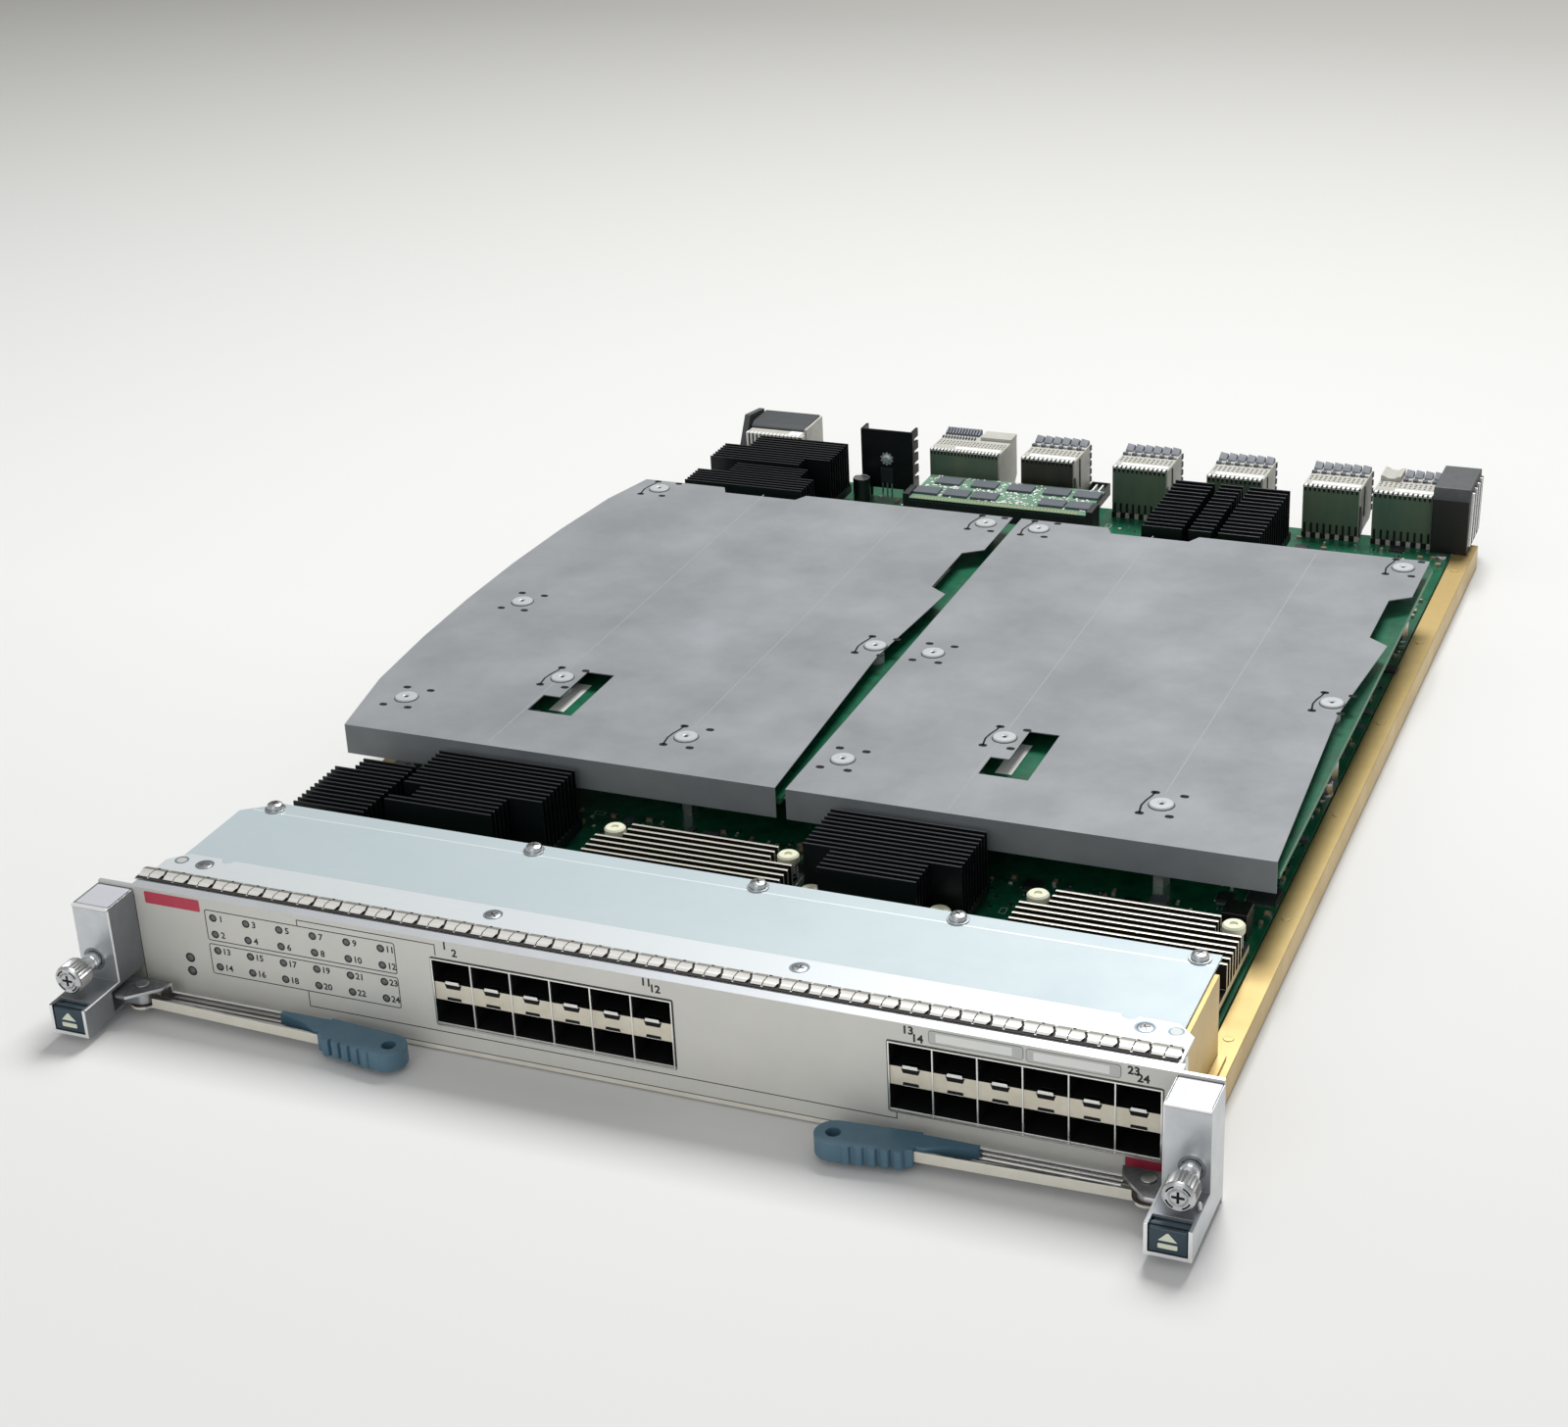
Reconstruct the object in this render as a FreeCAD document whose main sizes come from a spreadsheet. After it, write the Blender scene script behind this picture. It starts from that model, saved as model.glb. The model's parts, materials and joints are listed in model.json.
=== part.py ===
# Switch line card: a 24-port module that slides into a chassis on its side rails, is drawn in by
# two ejector levers and two captive screws, and plugs into the backplane with seven connectors.
# Millimetres. X runs to the right seen from the front, +Y into the chassis, +Z up. The origin is on
# the centre line, on the base plane, at the seating face of the faceplate (its rear face).
import FreeCAD, Part
import Sketcher
import math
import os


class Lengths:
    # Overall: the slot sets the width and height, the backplane the depth behind the faceplate.
    cardWidth = 389.2
    cardDepth = 519.5
    panelHeight = 42.0
    # Faceplate with a folded top edge and bottom flange.
    panelWall = 1.5
    panelInset = 0.3
    flangeTop = 3.5
    flangeBottom = 12.0
    sheetWall = 1.2
    # Clearances: between fixed pieces, and for what slides or turns.
    fit = 0.3
    runFit = 0.05
    # Carrier tray: floor, side walls and inward flanges that ride in the chassis guides.
    railGap = 11.6
    plugBeyondTray = 17.5
    trayTop = 10.0
    trayFlange = 9.0
    # Main board and its standoffs.
    boardSideGap = 9.5
    boardFront = 1.5
    boardRearGap = 1.0
    boardThick = 2.4
    boardBevel = 3.0
    standoffTall = 6.4
    standoffAcross = 7.0
    standoffInset = 12.0
    standoffFirst = 40.0
    standoffLast = 25.0
    # Roof over the ports: cover, front strip, posts and screws.
    coverFront = 12.0
    screwPastCage = 7.0
    coverLeftInset = 6.0
    coverRightInset = 7.0
    coverThick = 1.0
    coverBevel = 9.0
    stripInset = 2.7
    stripGap = 0.5
    stripLong = 20.5
    stripThick = 1.0
    stripBevel = 6.0
    screwRowInset = 4.5
    postAcross = 5.6
    panHead = 7.4
    panRise = 2.6
    panWasher = 0.5
    panLeftInset = 12.0
    panInside = 4.6
    panOutside = 2.1
    panRightInset = 6.0
    screwShank = 3.0
    shankDepth = 5.0
    flatRowInset = 5.5
    flatInset = 15.3
    flatInside = 12.6
    flatPast = 35.1
    flatHead = 5.2
    notchInset = 24.0
    notchWide = 5.0
    # Upright brackets at both ends of the roof.
    bracketInset = 6.5
    bracketFront = 3.6
    bracketShort = 5.5
    bracketFoot = 4.0
    bracketTop = 8.0
    # Gasket of sprung contact fingers.
    gasketRightInset = 1.0
    gasketLong = 7.0
    fingerPitch = 9.8
    fingerGap = 0.5
    fingerRise = 1.2
    fingerFoot = 0.3
    # Port blocks: twelve stacked pairs of pluggable-module ports.
    portPitch = 14.25
    blockGap = 0.3
    blockLeftInset = 127.7
    blockLow = 10.9
    blockHeadroom = 7.0
    bandTall = 6.6
    cageWall = 0.3
    cageProud = 0.4
    cageDepth = 57.0
    cageFoot = 1.0
    socketDepth = 12.0
    socketSide = 0.4
    socketSlot = 1.4
    slotBelowBand = 4.6
    slotAboveBand = 3.2
    bandInset = 0.5
    latchWide = 4.4
    latchDeep = 1.3
    latchLong = 3.0
    # Indicators: four rows of six, and two single lights.
    lightInset = 44.8
    lightPitch = 12.85
    lightRowPitch = 6.3
    lightTopDrop = 7.0
    lightAcross = 3.0
    lightLong = 3.0
    idLightInset = 33.2
    idLightTop = 17.7
    idLightBottom = 12.5
    # Ejector housing: a nose for the button and the lever, and a tower for the captive screw.
    endWide = 14.3
    noseReach = 36.5
    noseLow = 2.5
    noseHigh = 13.0
    towerReach = 16.5
    towerDrop = 1.1
    endWall = 1.2
    ribDepth = 14.0
    bayFloor = 1.7
    bayRoof = 1.4
    windowAhead = 2.5
    windowBack = 4.0
    # Eject button with its stem and coil spring.
    buttonTravel = 2.5
    buttonDrop = 1.0
    springRoom = 6.5
    stemRadius = 2.0
    stemPast = 3.0
    stemLevel = 8.3
    buttonSpringOuter = 6.4
    springWire = 0.8
    # Captive screw, its collar and spring.
    screwInset = 5.6
    screwLevel = 20.5
    knobRadius = 5.2
    knobProud = 15.5
    knobLong = 8.0
    knobBore = 3.38
    slotDeep = 2.4
    slotWide = 1.0
    slotReach = 2.18
    neckRadius = 3.0
    neckProud = 0.3
    neckFit = 0.2
    shankRadius = 1.75
    threadRadius = 1.95
    threadFit = 0.35
    shankPast = 8.0
    towerLip = 2.5
    collarRadius = 4.2
    collarFit = 0.17
    collarThick = 1.0
    # Ejector lever: a pressed channel with two lugs, a moulded handle and a riveted pivot pin.
    pivotInset = 5.3
    pivotReach = 11.5
    pinRadius = 1.5
    pinSeat = 0.06
    pinFit = 0.16
    pinHeadAcross = 5.0
    pinHeadThick = 0.6
    padHalf = 3.5
    lugRadius = 4.9
    lugLow = 9.0
    lugThick = 1.2
    lugClear = 0.6
    leverFloor = 3.0
    leverThick = 1.0
    leverTall = 3.8
    channelBackGap = 6.9
    channelDeep = 6.8
    channelTaper = 2.1
    channelShort = 4.5
    channelLong = 67.0
    clawReach = 18.8
    clawStart = 8.8
    clawEnd = 16.5
    clawTail = 9.0
    clawShoulder = 3.0
    clawWaist = 7.0
    clawHook = 13.0
    clawTip = 3.0
    clawTipStep = 2.0
    clawFront = 9.0
    clawHeel = 5.3
    # Moulded handle with a hole, ribs and a tongue that lies in the channel.
    handleLow = 1.8
    handleTall = 6.2
    handleLong = 32.0
    handleRadius = 6.6
    handleReach = 15.5
    handleHoleIn = 6.0
    handleHoleRadius = 2.5
    tongueLong = 18.5
    gripRadius = 1.6
    gripPitch = 4.0
    gripSlope = 0.6
    # Forwarding boards, their posts, and the folded insulating sheets over them.
    middleGap = 2.0
    daughterSideGap = 5.0
    daughterFront = 138.0
    daughterRearGap = 107.0
    daughterLevel = 24.0
    postAcrossDaughter = 7.0
    studTall = 6.5
    studShoulder = 7.0
    studCap = 9.0
    studCapThick = 0.9
    studSide = 11.0
    studOtherSide = 9.0
    studFrontRow = 28.0
    studMiddleRow = 125.0
    studRearRow = 10.0
    studBay = 47.0
    studWindowSide = 61.0
    studWindowRow = 62.0
    sheetThick = 0.4
    sheetAhead = 4.5
    sheetRearGap = 115.5
    lipDrop = 12.0
    sheetBulge = 13.0
    sheetWaist = 5.0
    waistAt = 116.5
    sideNotchDeep = 8.0
    sideNotchStart = 82.5
    sideNotchLong = 38.0
    notchSlope = 6.0
    rearNotchLeft = 39.0
    rearNotchLong = 40.0
    rearNotchDeep = 6.0
    rearNotchSlope = 3.0
    windowStart = 32.0
    windowLong = 14.0
    windowTotal = 38.0
    windowLeft = 61.0
    windowWide = 18.5
    windowStep = 7.0
    # Black heatsinks with machined fins.
    chipTall = 3.0
    coolTall = 25.0
    coolBase = 4.0
    finPitch = 2.9
    finThick = 0.8
    coolDrop = 1.0
    frontCoolRow = 88.0
    innerCoolLeft = 135.0
    innerCoolWide = 56.0
    innerCoolShort = 43.0
    innerCoolStep = 8.0
    outerCoolLeft = 167.0
    outerCoolWide = 29.0
    outerCoolRow = 78.0
    outerCoolStep = 7.0
    centreCoolLeft = 21.0
    centreCoolWide = 57.5
    centreCoolStep = 11.0
    rearCoolLeft = 165.0
    rearCoolWide = 57.0
    rearCoolGap = 73.0
    rearCoolStep = 12.0
    backCoolWide = 58.0
    backCoolGap = 102.5
    backCoolStep = 15.0
    pinFrame = 5.5
    pinRow = 7.0
    crossLeft = 52.0
    crossWide = 52.0
    crossGap = 102.5
    crossLong = 61.5
    crossChannel = 2.8
    crossFirst = 18.0
    crossSecond = 31.0
    # Low bare heatsinks behind the ports.
    naturalTall = 9.4
    naturalBase = 2.6
    naturalPitch = 3.7
    naturalFin = 1.3
    naturalRow = 78.2
    naturalWide = 76.0
    naturalStep = 9.5
    leftNaturalLeft = 62.0
    rightNaturalLeft = 96.5
    naturalPinIn = 4.4
    naturalPinRow = 37.8
    # Chips under the heatsinks stand in from the base's edges.
    chipInset = 9.0
    # Push pins and their springs.
    pushShaft = 3.0
    pushCap = 8.0
    pushCapThick = 1.6
    pushTall = 15.0
    pushSpring = 6.0
    # Backplane connectors and their guides.
    plugLong = 28.0
    plugTall = 24.5
    plugCapTall = 27.0
    plugCapLong = 5.5
    plugChamfer = 4.0
    plugCapBevel = 2.0
    plugWide = 26.0
    powerPlugWide = 34.5
    leftPlugWide = 30.0
    rightPlugWide = 27.0
    firstPlug = 167.0
    secondPlug = 72.0
    thirdPlug = 27.0
    plugPitch = 44.25
    lastPlug = 137.0
    guideThin = 3.0
    guideWide = 16.0
    guideFront = 35.0
    guideRear = 4.5
    guideTall = 30.0
    guideChin = 4.0
    guideSlant = 2.5
    guideCrown = 15.0
    # Keying header between the second and third of the close-set connectors.
    headerLeft = 0.0
    headerWide = 9.0
    headerLong = 10.0
    headerTall = 6.0
    headerPast = 17.0
    # Regulator with a pressed heatsink.
    regulatorLeft = 105.0
    regulatorWide = 26.0
    regulatorGap = 31.5
    regulatorDeep = 8.0
    regulatorWall = 1.2
    regulatorFoot = 4.0
    regulatorTall = 29.0
    tabPitch = 6.0
    tabGap = 2.0
    # Memory module, flat on its socket's ledge and held by two end latches.
    moduleRise = 12.0
    moduleThick = 1.2
    moduleLeft = 70.0
    moduleWide = 85.0
    moduleGap = 62.5
    moduleLong = 31.5
    ledgeLong = 7.0
    latchEnd = 3.0
    endLatchLong = 12.0
    # Large capacitor and inductor.
    capacitorAcross = 8.4
    capacitorTall = 12.0
    capacitorLeft = 101.5
    capacitorGap = 41.0
    inductorRight = 169.2
    inductorWide = 9.2
    inductorFront = 130.6
    inductorLong = 9.6
    inductorTall = 10.0


doc = FreeCAD.newDocument("SwitchLineCard")
table = doc.addObject("Spreadsheet::Sheet", "Sizes")


class Size:
    # A length worked out from the sheet: the formula that FreeCAD evaluates, and its value now.
    def __init__(self, formula, value):
        self.formula = formula
        self.value = value

    def __add__(self, other):
        other = size(other)
        return Size("(%s + %s)" % (self.formula, other.formula), self.value + other.value)

    def __sub__(self, other):
        other = size(other)
        return Size("(%s - %s)" % (self.formula, other.formula), self.value - other.value)

    def __mul__(self, other):
        other = size(other)
        return Size("(%s * %s)" % (self.formula, other.formula), self.value * other.value)

    def __truediv__(self, other):
        other = size(other)
        return Size("(%s / %s)" % (self.formula, other.formula), self.value / other.value)

    def __neg__(self):
        return Size("(-%s)" % self.formula, -self.value)

    __radd__ = __add__
    __rmul__ = __mul__

    def __rsub__(self, other):
        return size(other) - self


def size(number):
    return number if isinstance(number, Size) else Size("(%.9g)" % number, number)


class Sheet:
    # Every length is a cell with an alias, and an attribute here that gives it as a Size.
    def __init__(self):
        for row, (alias, number) in enumerate(vars(Lengths).items(), 1):
            if not alias.startswith("_"):
                table.set("A%d" % row, alias)
                table.set("B%d" % row, repr(number))
                table.setAlias("B%d" % row, alias)
                setattr(self, alias, Size("Sizes." + alias, number))


s = Sheet()
portCount = 6

# Places and sizes that follow from the cells.
s.cardHalf = s.cardWidth / 2
s.panelHalf = s.cardHalf - s.panelInset
s.trayHalf = s.cardHalf - s.railGap
s.trayRear = s.cardDepth - s.plugBeyondTray
s.boardHalf = s.trayHalf - s.boardSideGap
s.boardRear = s.trayRear - s.boardRearGap
s.boardTop = s.sheetWall + s.standoffTall + s.boardThick
s.coverTop = s.panelHeight - s.stripThick
s.coverLeft = -(s.trayHalf - s.coverLeftInset)
s.coverRight = s.trayHalf - s.coverRightInset
s.stripHalf = s.trayHalf - s.stripInset
s.stripFront = s.flangeTop + s.stripGap
s.stripRear = s.stripFront + s.stripLong
s.screwRow = s.cageDepth + s.screwPastCage
s.coverRear = s.screwRow + s.screwRowInset
s.flatRow = s.stripRear - s.flatRowInset
s.notchAt = s.trayHalf - s.notchInset
s.bracketInner = s.trayHalf - s.bracketInset
s.bracketRear = s.screwRow - s.bracketShort
s.gasketLeft = -s.trayHalf
s.gasketRight = s.trayHalf - s.gasketRightInset
s.gasketFront = s.stripFront
s.gasketRear = s.gasketFront + s.gasketLong
s.blockWide = s.portPitch * portCount
s.blockRight = s.bracketInner - s.blockGap - s.blockWide
s.blockLeft = s.blockLeftInset - s.panelHalf
s.blockHigh = s.panelHeight - s.blockHeadroom
s.endOuter = s.cardHalf
s.endInner = s.endOuter - s.endWide
s.noseFront = -s.noseReach
s.towerFront = -s.towerReach
s.towerHigh = s.panelHeight - s.towerDrop
s.ribFront = s.noseFront + s.ribDepth
s.buttonBack = s.ribFront - s.springRoom
s.stemX = (s.endInner + s.endOuter) / 2
s.stemZ = s.stemLevel
s.stemBack = s.ribFront + s.stemPast
s.bayLow = s.noseLow + s.bayFloor
s.bayHigh = s.noseHigh - s.bayRoof
s.windowFront = s.towerFront - s.windowAhead
s.windowRear = -s.windowBack
s.pivotX = s.endInner - s.pivotInset
s.pivotY = -s.pivotReach
s.clawSlotInner = s.pivotX + s.clawStart
s.clawSlotOuter = s.pivotX + s.clawEnd
s.clawSlotLow = s.lugLow - s.lugClear
s.clawSlotHigh = s.lugLow + s.lugThick + s.lugClear
s.screwX = s.cardHalf - s.screwInset
s.screwZ = s.screwLevel
s.knobFront = s.towerFront - s.knobProud
s.knobBack = s.knobFront + s.knobLong
s.neckBack = s.towerFront - s.neckProud
s.boreRadius = s.neckRadius + s.neckFit
s.boreBack = s.towerFront + s.towerLip
s.pocketRadius = s.collarRadius + s.fit
s.collarHoleAcross = s.shankRadius * 2 + s.collarFit
s.panelHoleRadius = s.threadRadius + s.threadFit
s.pinSeatAcross = s.pinRadius * 2 + s.pinSeat
s.pinHoleAcross = s.pinRadius * 2 + s.pinFit
s.padTop = s.lugLow - s.fit
s.channelTop = s.leverFloor + s.leverTall
s.channelBack = -s.channelBackGap
s.channelFront = s.channelBack - s.channelDeep
s.channelFrontInner = s.channelFront - s.channelTaper
s.channelEnd = s.pivotX - s.channelShort
s.handleJoint = s.channelEnd - s.channelLong
s.handleTop = s.handleLow + s.handleTall
s.handleEnd = s.handleJoint - s.handleLong
s.handleHoleX = s.handleEnd + s.handleHoleIn
s.handleHoleY = -s.handleReach
s.tongueTip = s.handleJoint + s.tongueLong
s.daughterWide = s.trayHalf - s.daughterSideGap - s.middleGap
s.daughterTop = s.boardTop + s.daughterLevel
s.daughterRear = s.cardDepth - s.daughterRearGap
s.sheetTop = s.daughterTop + s.studTall
s.sheetFront = s.daughterFront - s.sheetAhead
s.sheetRear = s.cardDepth - s.sheetRearGap
s.chipTop = s.boardTop + s.chipTall
s.coolTop = s.chipTop + s.coolTall
s.coolFloor = s.chipTop + s.coolBase
s.naturalFloor = s.chipTop + s.naturalBase
s.naturalTop = s.naturalFloor + s.naturalTall
s.pushTop = s.boardTop + s.pushTall
s.plugFront = s.cardDepth - s.plugLong
s.plugStep = s.cardDepth - s.plugCapLong
s.plugTop = s.boardTop + s.plugTall
s.plugRearTop = s.boardTop + s.plugCapTall
s.moduleLevel = s.boardTop + s.moduleRise
s.moduleFront = s.cardDepth - s.moduleGap
panelFront = -s.panelWall


def bind(item, **sizes):
    for name, length in sizes.items():
        item.setExpression(name.replace("_", "."), size(length).formula)


TURNS = {
    "X": FreeCAD.Rotation(FreeCAD.Vector(0, 1, 0), 90),
    "Y": FreeCAD.Rotation(FreeCAD.Vector(1, 0, 0), -90),
    "Z": FreeCAD.Rotation(),
}


def place(item, x, y, z, axis="Z"):
    item.Placement = FreeCAD.Placement(FreeCAD.Vector(), TURNS[axis])
    bind(item, Placement_Base_x=x, Placement_Base_y=y, Placement_Base_z=z)


def box(x0, x1, y0, y1, z0, z1):
    item = doc.addObject("Part::Box", "Block")
    bind(item, Length=size(x1) - x0, Width=size(y1) - y0, Height=size(z1) - z0)
    place(item, x0, y0, z0)
    return item


def rod(radius, x, y, z, length, axis="Z"):
    # A cylinder from the point (x, y, z) along +axis.
    item = doc.addObject("Part::Cylinder", "Rod")
    bind(item, Radius=radius, Height=length)
    place(item, x, y, z, axis)
    return item


def prism(sides, across, x, y, z, length, axis="Z"):
    # A regular prism; across is measured over its corners.
    item = doc.addObject("Part::Prism", "Prism")
    item.Polygon = sides
    bind(item, Circumradius=size(across) / 2, Height=length)
    place(item, x, y, z, axis)
    return item


def tube(sides, outer, inner, x, y, z, length, axis="Z"):
    # A sleeve with flat sides; outer and inner are measured over the corners.
    steps = {"X": (1, 0, 0), "Y": (0, 1, 0), "Z": (0, 0, 1)}[axis]
    start = [place - step for place, step in zip((x, y, z), steps)]
    return cut(prism(sides, outer, x, y, z, length, axis), [prism(sides, inner, *start, length + 2, axis)])


def fuse(items):
    if len(items) == 1:
        return items[0]
    item = doc.addObject("Part::MultiFuse", "Union")
    item.Shapes = items
    item.Refine = True
    return item


def group(items):
    # Separate solids that share one node.
    item = doc.addObject("Part::Compound", "Group")
    item.Links = items
    return item


def cut(base, tools):
    item = doc.addObject("Part::Cut", "Difference")
    item.Base = base
    item.Tool = tools[0] if len(tools) == 1 else group(tools)
    item.Refine = True
    return item


def mirrored(item):
    copy = doc.addObject("Part::Mirroring", "Mirror")
    copy.Source = item
    copy.Normal = FreeCAD.Vector(1, 0, 0)
    return copy


def draw(body, plane, outline, level):
    # A closed polygon sketched at a level above one of the body's own planes.
    sketch = body.newObject("Sketcher::SketchObject", "Outline")
    face = [item for item in body.Origin.OriginFeatures if item.Role == plane + "_Plane"][0]
    sketch.AttachmentSupport = [(face, "")]
    sketch.MapMode = "FlatFace"
    bind(sketch, AttachmentOffset_Base_z=level)
    points = [(size(u), size(v)) for u, v in outline]
    corners = [FreeCAD.Vector(u.value, v.value, 0) for u, v in points]
    for start, end in zip(corners, corners[1:] + corners[:1]):
        sketch.addGeometry(Part.LineSegment(start, end), False)
    for line in range(len(points)):
        sketch.addConstraint(Sketcher.Constraint("Coincident", line, 2, (line + 1) % len(points), 1))
    for line, pair in enumerate(points):
        for kind, length in zip(("DistanceX", "DistanceY"), pair):
            number = sketch.addConstraint(Sketcher.Constraint(kind, -1, 1, line, 1, length.value))
            sketch.setExpression("Constraints[%d]" % number, length.formula)
    return sketch


def pad(body, plane, outline, low, high):
    # A prism over the outline, from low to high along the plane's normal (+X, +Y or +Z).
    backward = plane == "XZ"
    sketch = draw(body, plane, outline, -size(low) if backward else low)
    feature = body.newObject("PartDesign::Pad", "Pad")
    feature.Profile = sketch
    feature.Reversed = backward
    bind(feature, Length=size(high) - low)
    body.Tip = feature
    return feature


def plate(plane, outline, low, high):
    body = doc.addObject("PartDesign::Body", "Plate")
    pad(body, plane, outline, low, high)
    return body


def row(body, feature, axis, pitch, count):
    # Repeats a feature of the body along +axis.
    pattern = body.newObject("PartDesign::LinearPattern", "Row")
    pattern.Originals = [feature]
    line = [item for item in body.Origin.OriginFeatures if item.Role == axis + "_Axis"][0]
    pattern.Direction = (line, [""])
    pattern.Occurrences = count
    bind(pattern, Length=size(pitch) * (count - 1))
    body.Tip = pattern
    return pattern


def rectangle(u0, u1, v0, v1):
    return [(u0, v0), (u1, v0), (u1, v1), (u0, v1)]


nodes = {}


def node(item, label):
    item.Label = label
    nodes[label] = item


# ---- Faceplate -------------------------------------------------------------------------------
blocks = {"left": s.blockLeft, "right": s.blockRight}


def light_places():
    first = s.lightInset - s.panelHalf
    top = s.panelHeight - s.lightTopDrop
    places = [(first + s.lightPitch * i, top - s.lightRowPitch * line) for line in range(4) for i in range(6)]
    single = s.idLightInset - s.panelHalf
    return places + [(single, s.idLightTop), (single, s.idLightBottom)]


def faceplate():
    body = plate("YZ", [
        (panelFront, 0), (s.flangeBottom, 0), (s.flangeBottom, s.sheetWall), (0, s.sheetWall),
        (0, s.panelHeight - s.sheetWall), (s.flangeTop, s.panelHeight - s.sheetWall),
        (s.flangeTop, s.panelHeight), (panelFront, s.panelHeight),
    ], -s.trayHalf + s.panelWall, s.trayHalf - s.panelWall)
    ends = [box(side, side + wide, panelFront, 0, 0, s.panelHeight)
            for side, wide in ((-s.panelHalf, s.panelHalf - s.trayHalf + s.panelWall),
                               (s.trayHalf - s.panelWall, s.panelHalf - s.trayHalf + s.panelWall))]
    through = s.panelWall * 3
    start = -s.panelWall * 2
    holes = [box(left - s.fit, left + s.blockWide + s.fit, start, start + through,
                 s.blockLow - s.fit, s.blockHigh + s.fit) for left in blocks.values()]
    holes += [prism(6, s.lightAcross, x, start, z, through, "Y") for x, z in light_places()]
    for side in (-1, 1):
        holes.append(prism(12, s.panelHoleRadius * 2, side * s.screwX, start, s.screwZ, through, "Y"))
        edges = sorted((side * s.clawSlotInner, side * s.clawSlotOuter), key=lambda edge: edge.value)
        holes.append(box(edges[0], edges[1], start, start + through, s.clawSlotLow, s.clawSlotHigh))
    node(cut(fuse([body] + ends), holes), "faceplate")


def status_light_pipes():
    node(group([prism(6, s.lightAcross, x, panelFront - s.runFit, z, s.lightLong, "Y")
                for x, z in light_places()]), "status_light_pipes")


# ---- Carrier tray and main board ---------------------------------------------------------------
def carrier_tray():
    inner = s.trayHalf - s.sheetWall
    lip = s.trayHalf - s.trayFlange
    under = s.trayTop - s.sheetWall
    body = plate("XZ", [
        (-s.trayHalf, 0), (s.trayHalf, 0), (s.trayHalf, s.trayTop), (lip, s.trayTop), (lip, under),
        (inner, under), (inner, s.sheetWall), (-inner, s.sheetWall), (-inner, under), (-lip, under),
        (-lip, s.trayTop), (-s.trayHalf, s.trayTop),
    ], 0, s.trayRear)
    clear = box(-inner, inner, 0, s.flangeBottom + s.fit, -1, s.sheetWall)
    node(cut(body, [clear]), "carrier_tray")


def main_board():
    bevel = s.boardBevel
    outline = [(-s.boardHalf, s.boardFront), (s.boardHalf, s.boardFront), (s.boardHalf, s.boardRear - bevel),
               (s.boardHalf - bevel, s.boardRear), (bevel - s.boardHalf, s.boardRear),
               (-s.boardHalf, s.boardRear - bevel)]
    node(plate("XY", outline, s.boardTop - s.boardThick, s.boardTop), "main_board")


def board_standoffs():
    side = s.boardHalf - s.standoffInset
    pitch = (s.boardRear - s.standoffLast - s.standoffFirst) / 3
    posts = [prism(6, s.standoffAcross, x, s.standoffFirst + pitch * i, s.sheetWall, s.standoffTall)
             for x in (-side, size(0), side) for i in range(4)]
    node(group(posts), "board_standoffs")


# ---- Roof over the ports -------------------------------------------------------------------------
panPlaces = (s.coverLeft + s.panLeftInset, s.blockLeft + s.panInside,
             s.blockLeft + s.blockWide + s.panOutside, s.blockRight, s.coverRight - s.panRightInset)
flatPlaces = (s.flatInset - s.stripHalf, s.blockLeft + s.flatInside,
              s.blockLeft + s.blockWide + s.flatPast, s.stripHalf - s.flatInset)


def top_cover():
    outline = [(s.coverLeft, s.coverFront), (s.coverRight, s.coverFront), (s.coverRight, s.coverRear),
               (s.coverLeft + s.coverBevel * 1.4, s.coverRear), (s.coverLeft, s.coverRear - s.coverBevel)]
    body = plate("XY", outline, s.coverTop - s.coverThick, s.coverTop)
    under = s.coverTop - s.coverThick * 2
    holes = [prism(6, s.screwShank + s.fit, x, s.screwRow, under, s.coverThick * 3) for x in panPlaces]
    holes += [prism(6, s.screwShank + s.fit, x, s.flatRow, under, s.coverThick * 3) for x in flatPlaces]
    node(cut(body, holes), "top_cover")


def front_strip():
    # A bright strip with bevelled rear corners, over the cover's front edge and the gasket's seat.
    top = s.coverTop + s.stripThick
    side = s.stripHalf
    bevel = s.stripBevel
    outline = [(-side, s.stripFront), (side, s.stripFront), (side, s.stripRear - bevel),
               (side - bevel, s.stripRear), (bevel - side, s.stripRear), (-side, s.stripRear - bevel)]
    body = plate("XY", outline, s.coverTop, top)
    holes = [prism(8, s.flatHead + s.runFit, x, s.flatRow, s.coverTop - 1, 3) for x in flatPlaces]
    holes += [prism(8, s.notchWide, side * s.notchAt, s.stripRear, s.coverTop - 1, 3) for side in (-1, 1)]
    node(cut(body, holes), "front_strip")


def emi_finger_strip():
    # Sprung contact fingers: one pressed strip, whose fingers stand on a thin foot.
    foot = s.coverTop + s.stripThick
    low = foot + s.fingerFoot
    high = foot + s.fingerRise
    count = int(round((s.gasketRight - s.gasketLeft).value / s.fingerPitch.value))
    body = plate("YZ", rectangle(s.gasketFront, s.gasketRear, foot, low), s.gasketLeft,
                 s.gasketLeft + s.fingerPitch * count - s.fingerGap)
    rise = s.fingerRise
    finger = pad(body, "YZ", [(s.gasketFront, low), (s.gasketRear, low), (s.gasketRear - rise, high),
                              (s.gasketFront + rise, high)],
                 s.gasketLeft, s.gasketLeft + s.fingerPitch - s.fingerGap)
    row(body, finger, "X", s.fingerPitch, count)
    node(body, "emi_finger_strip")


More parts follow.
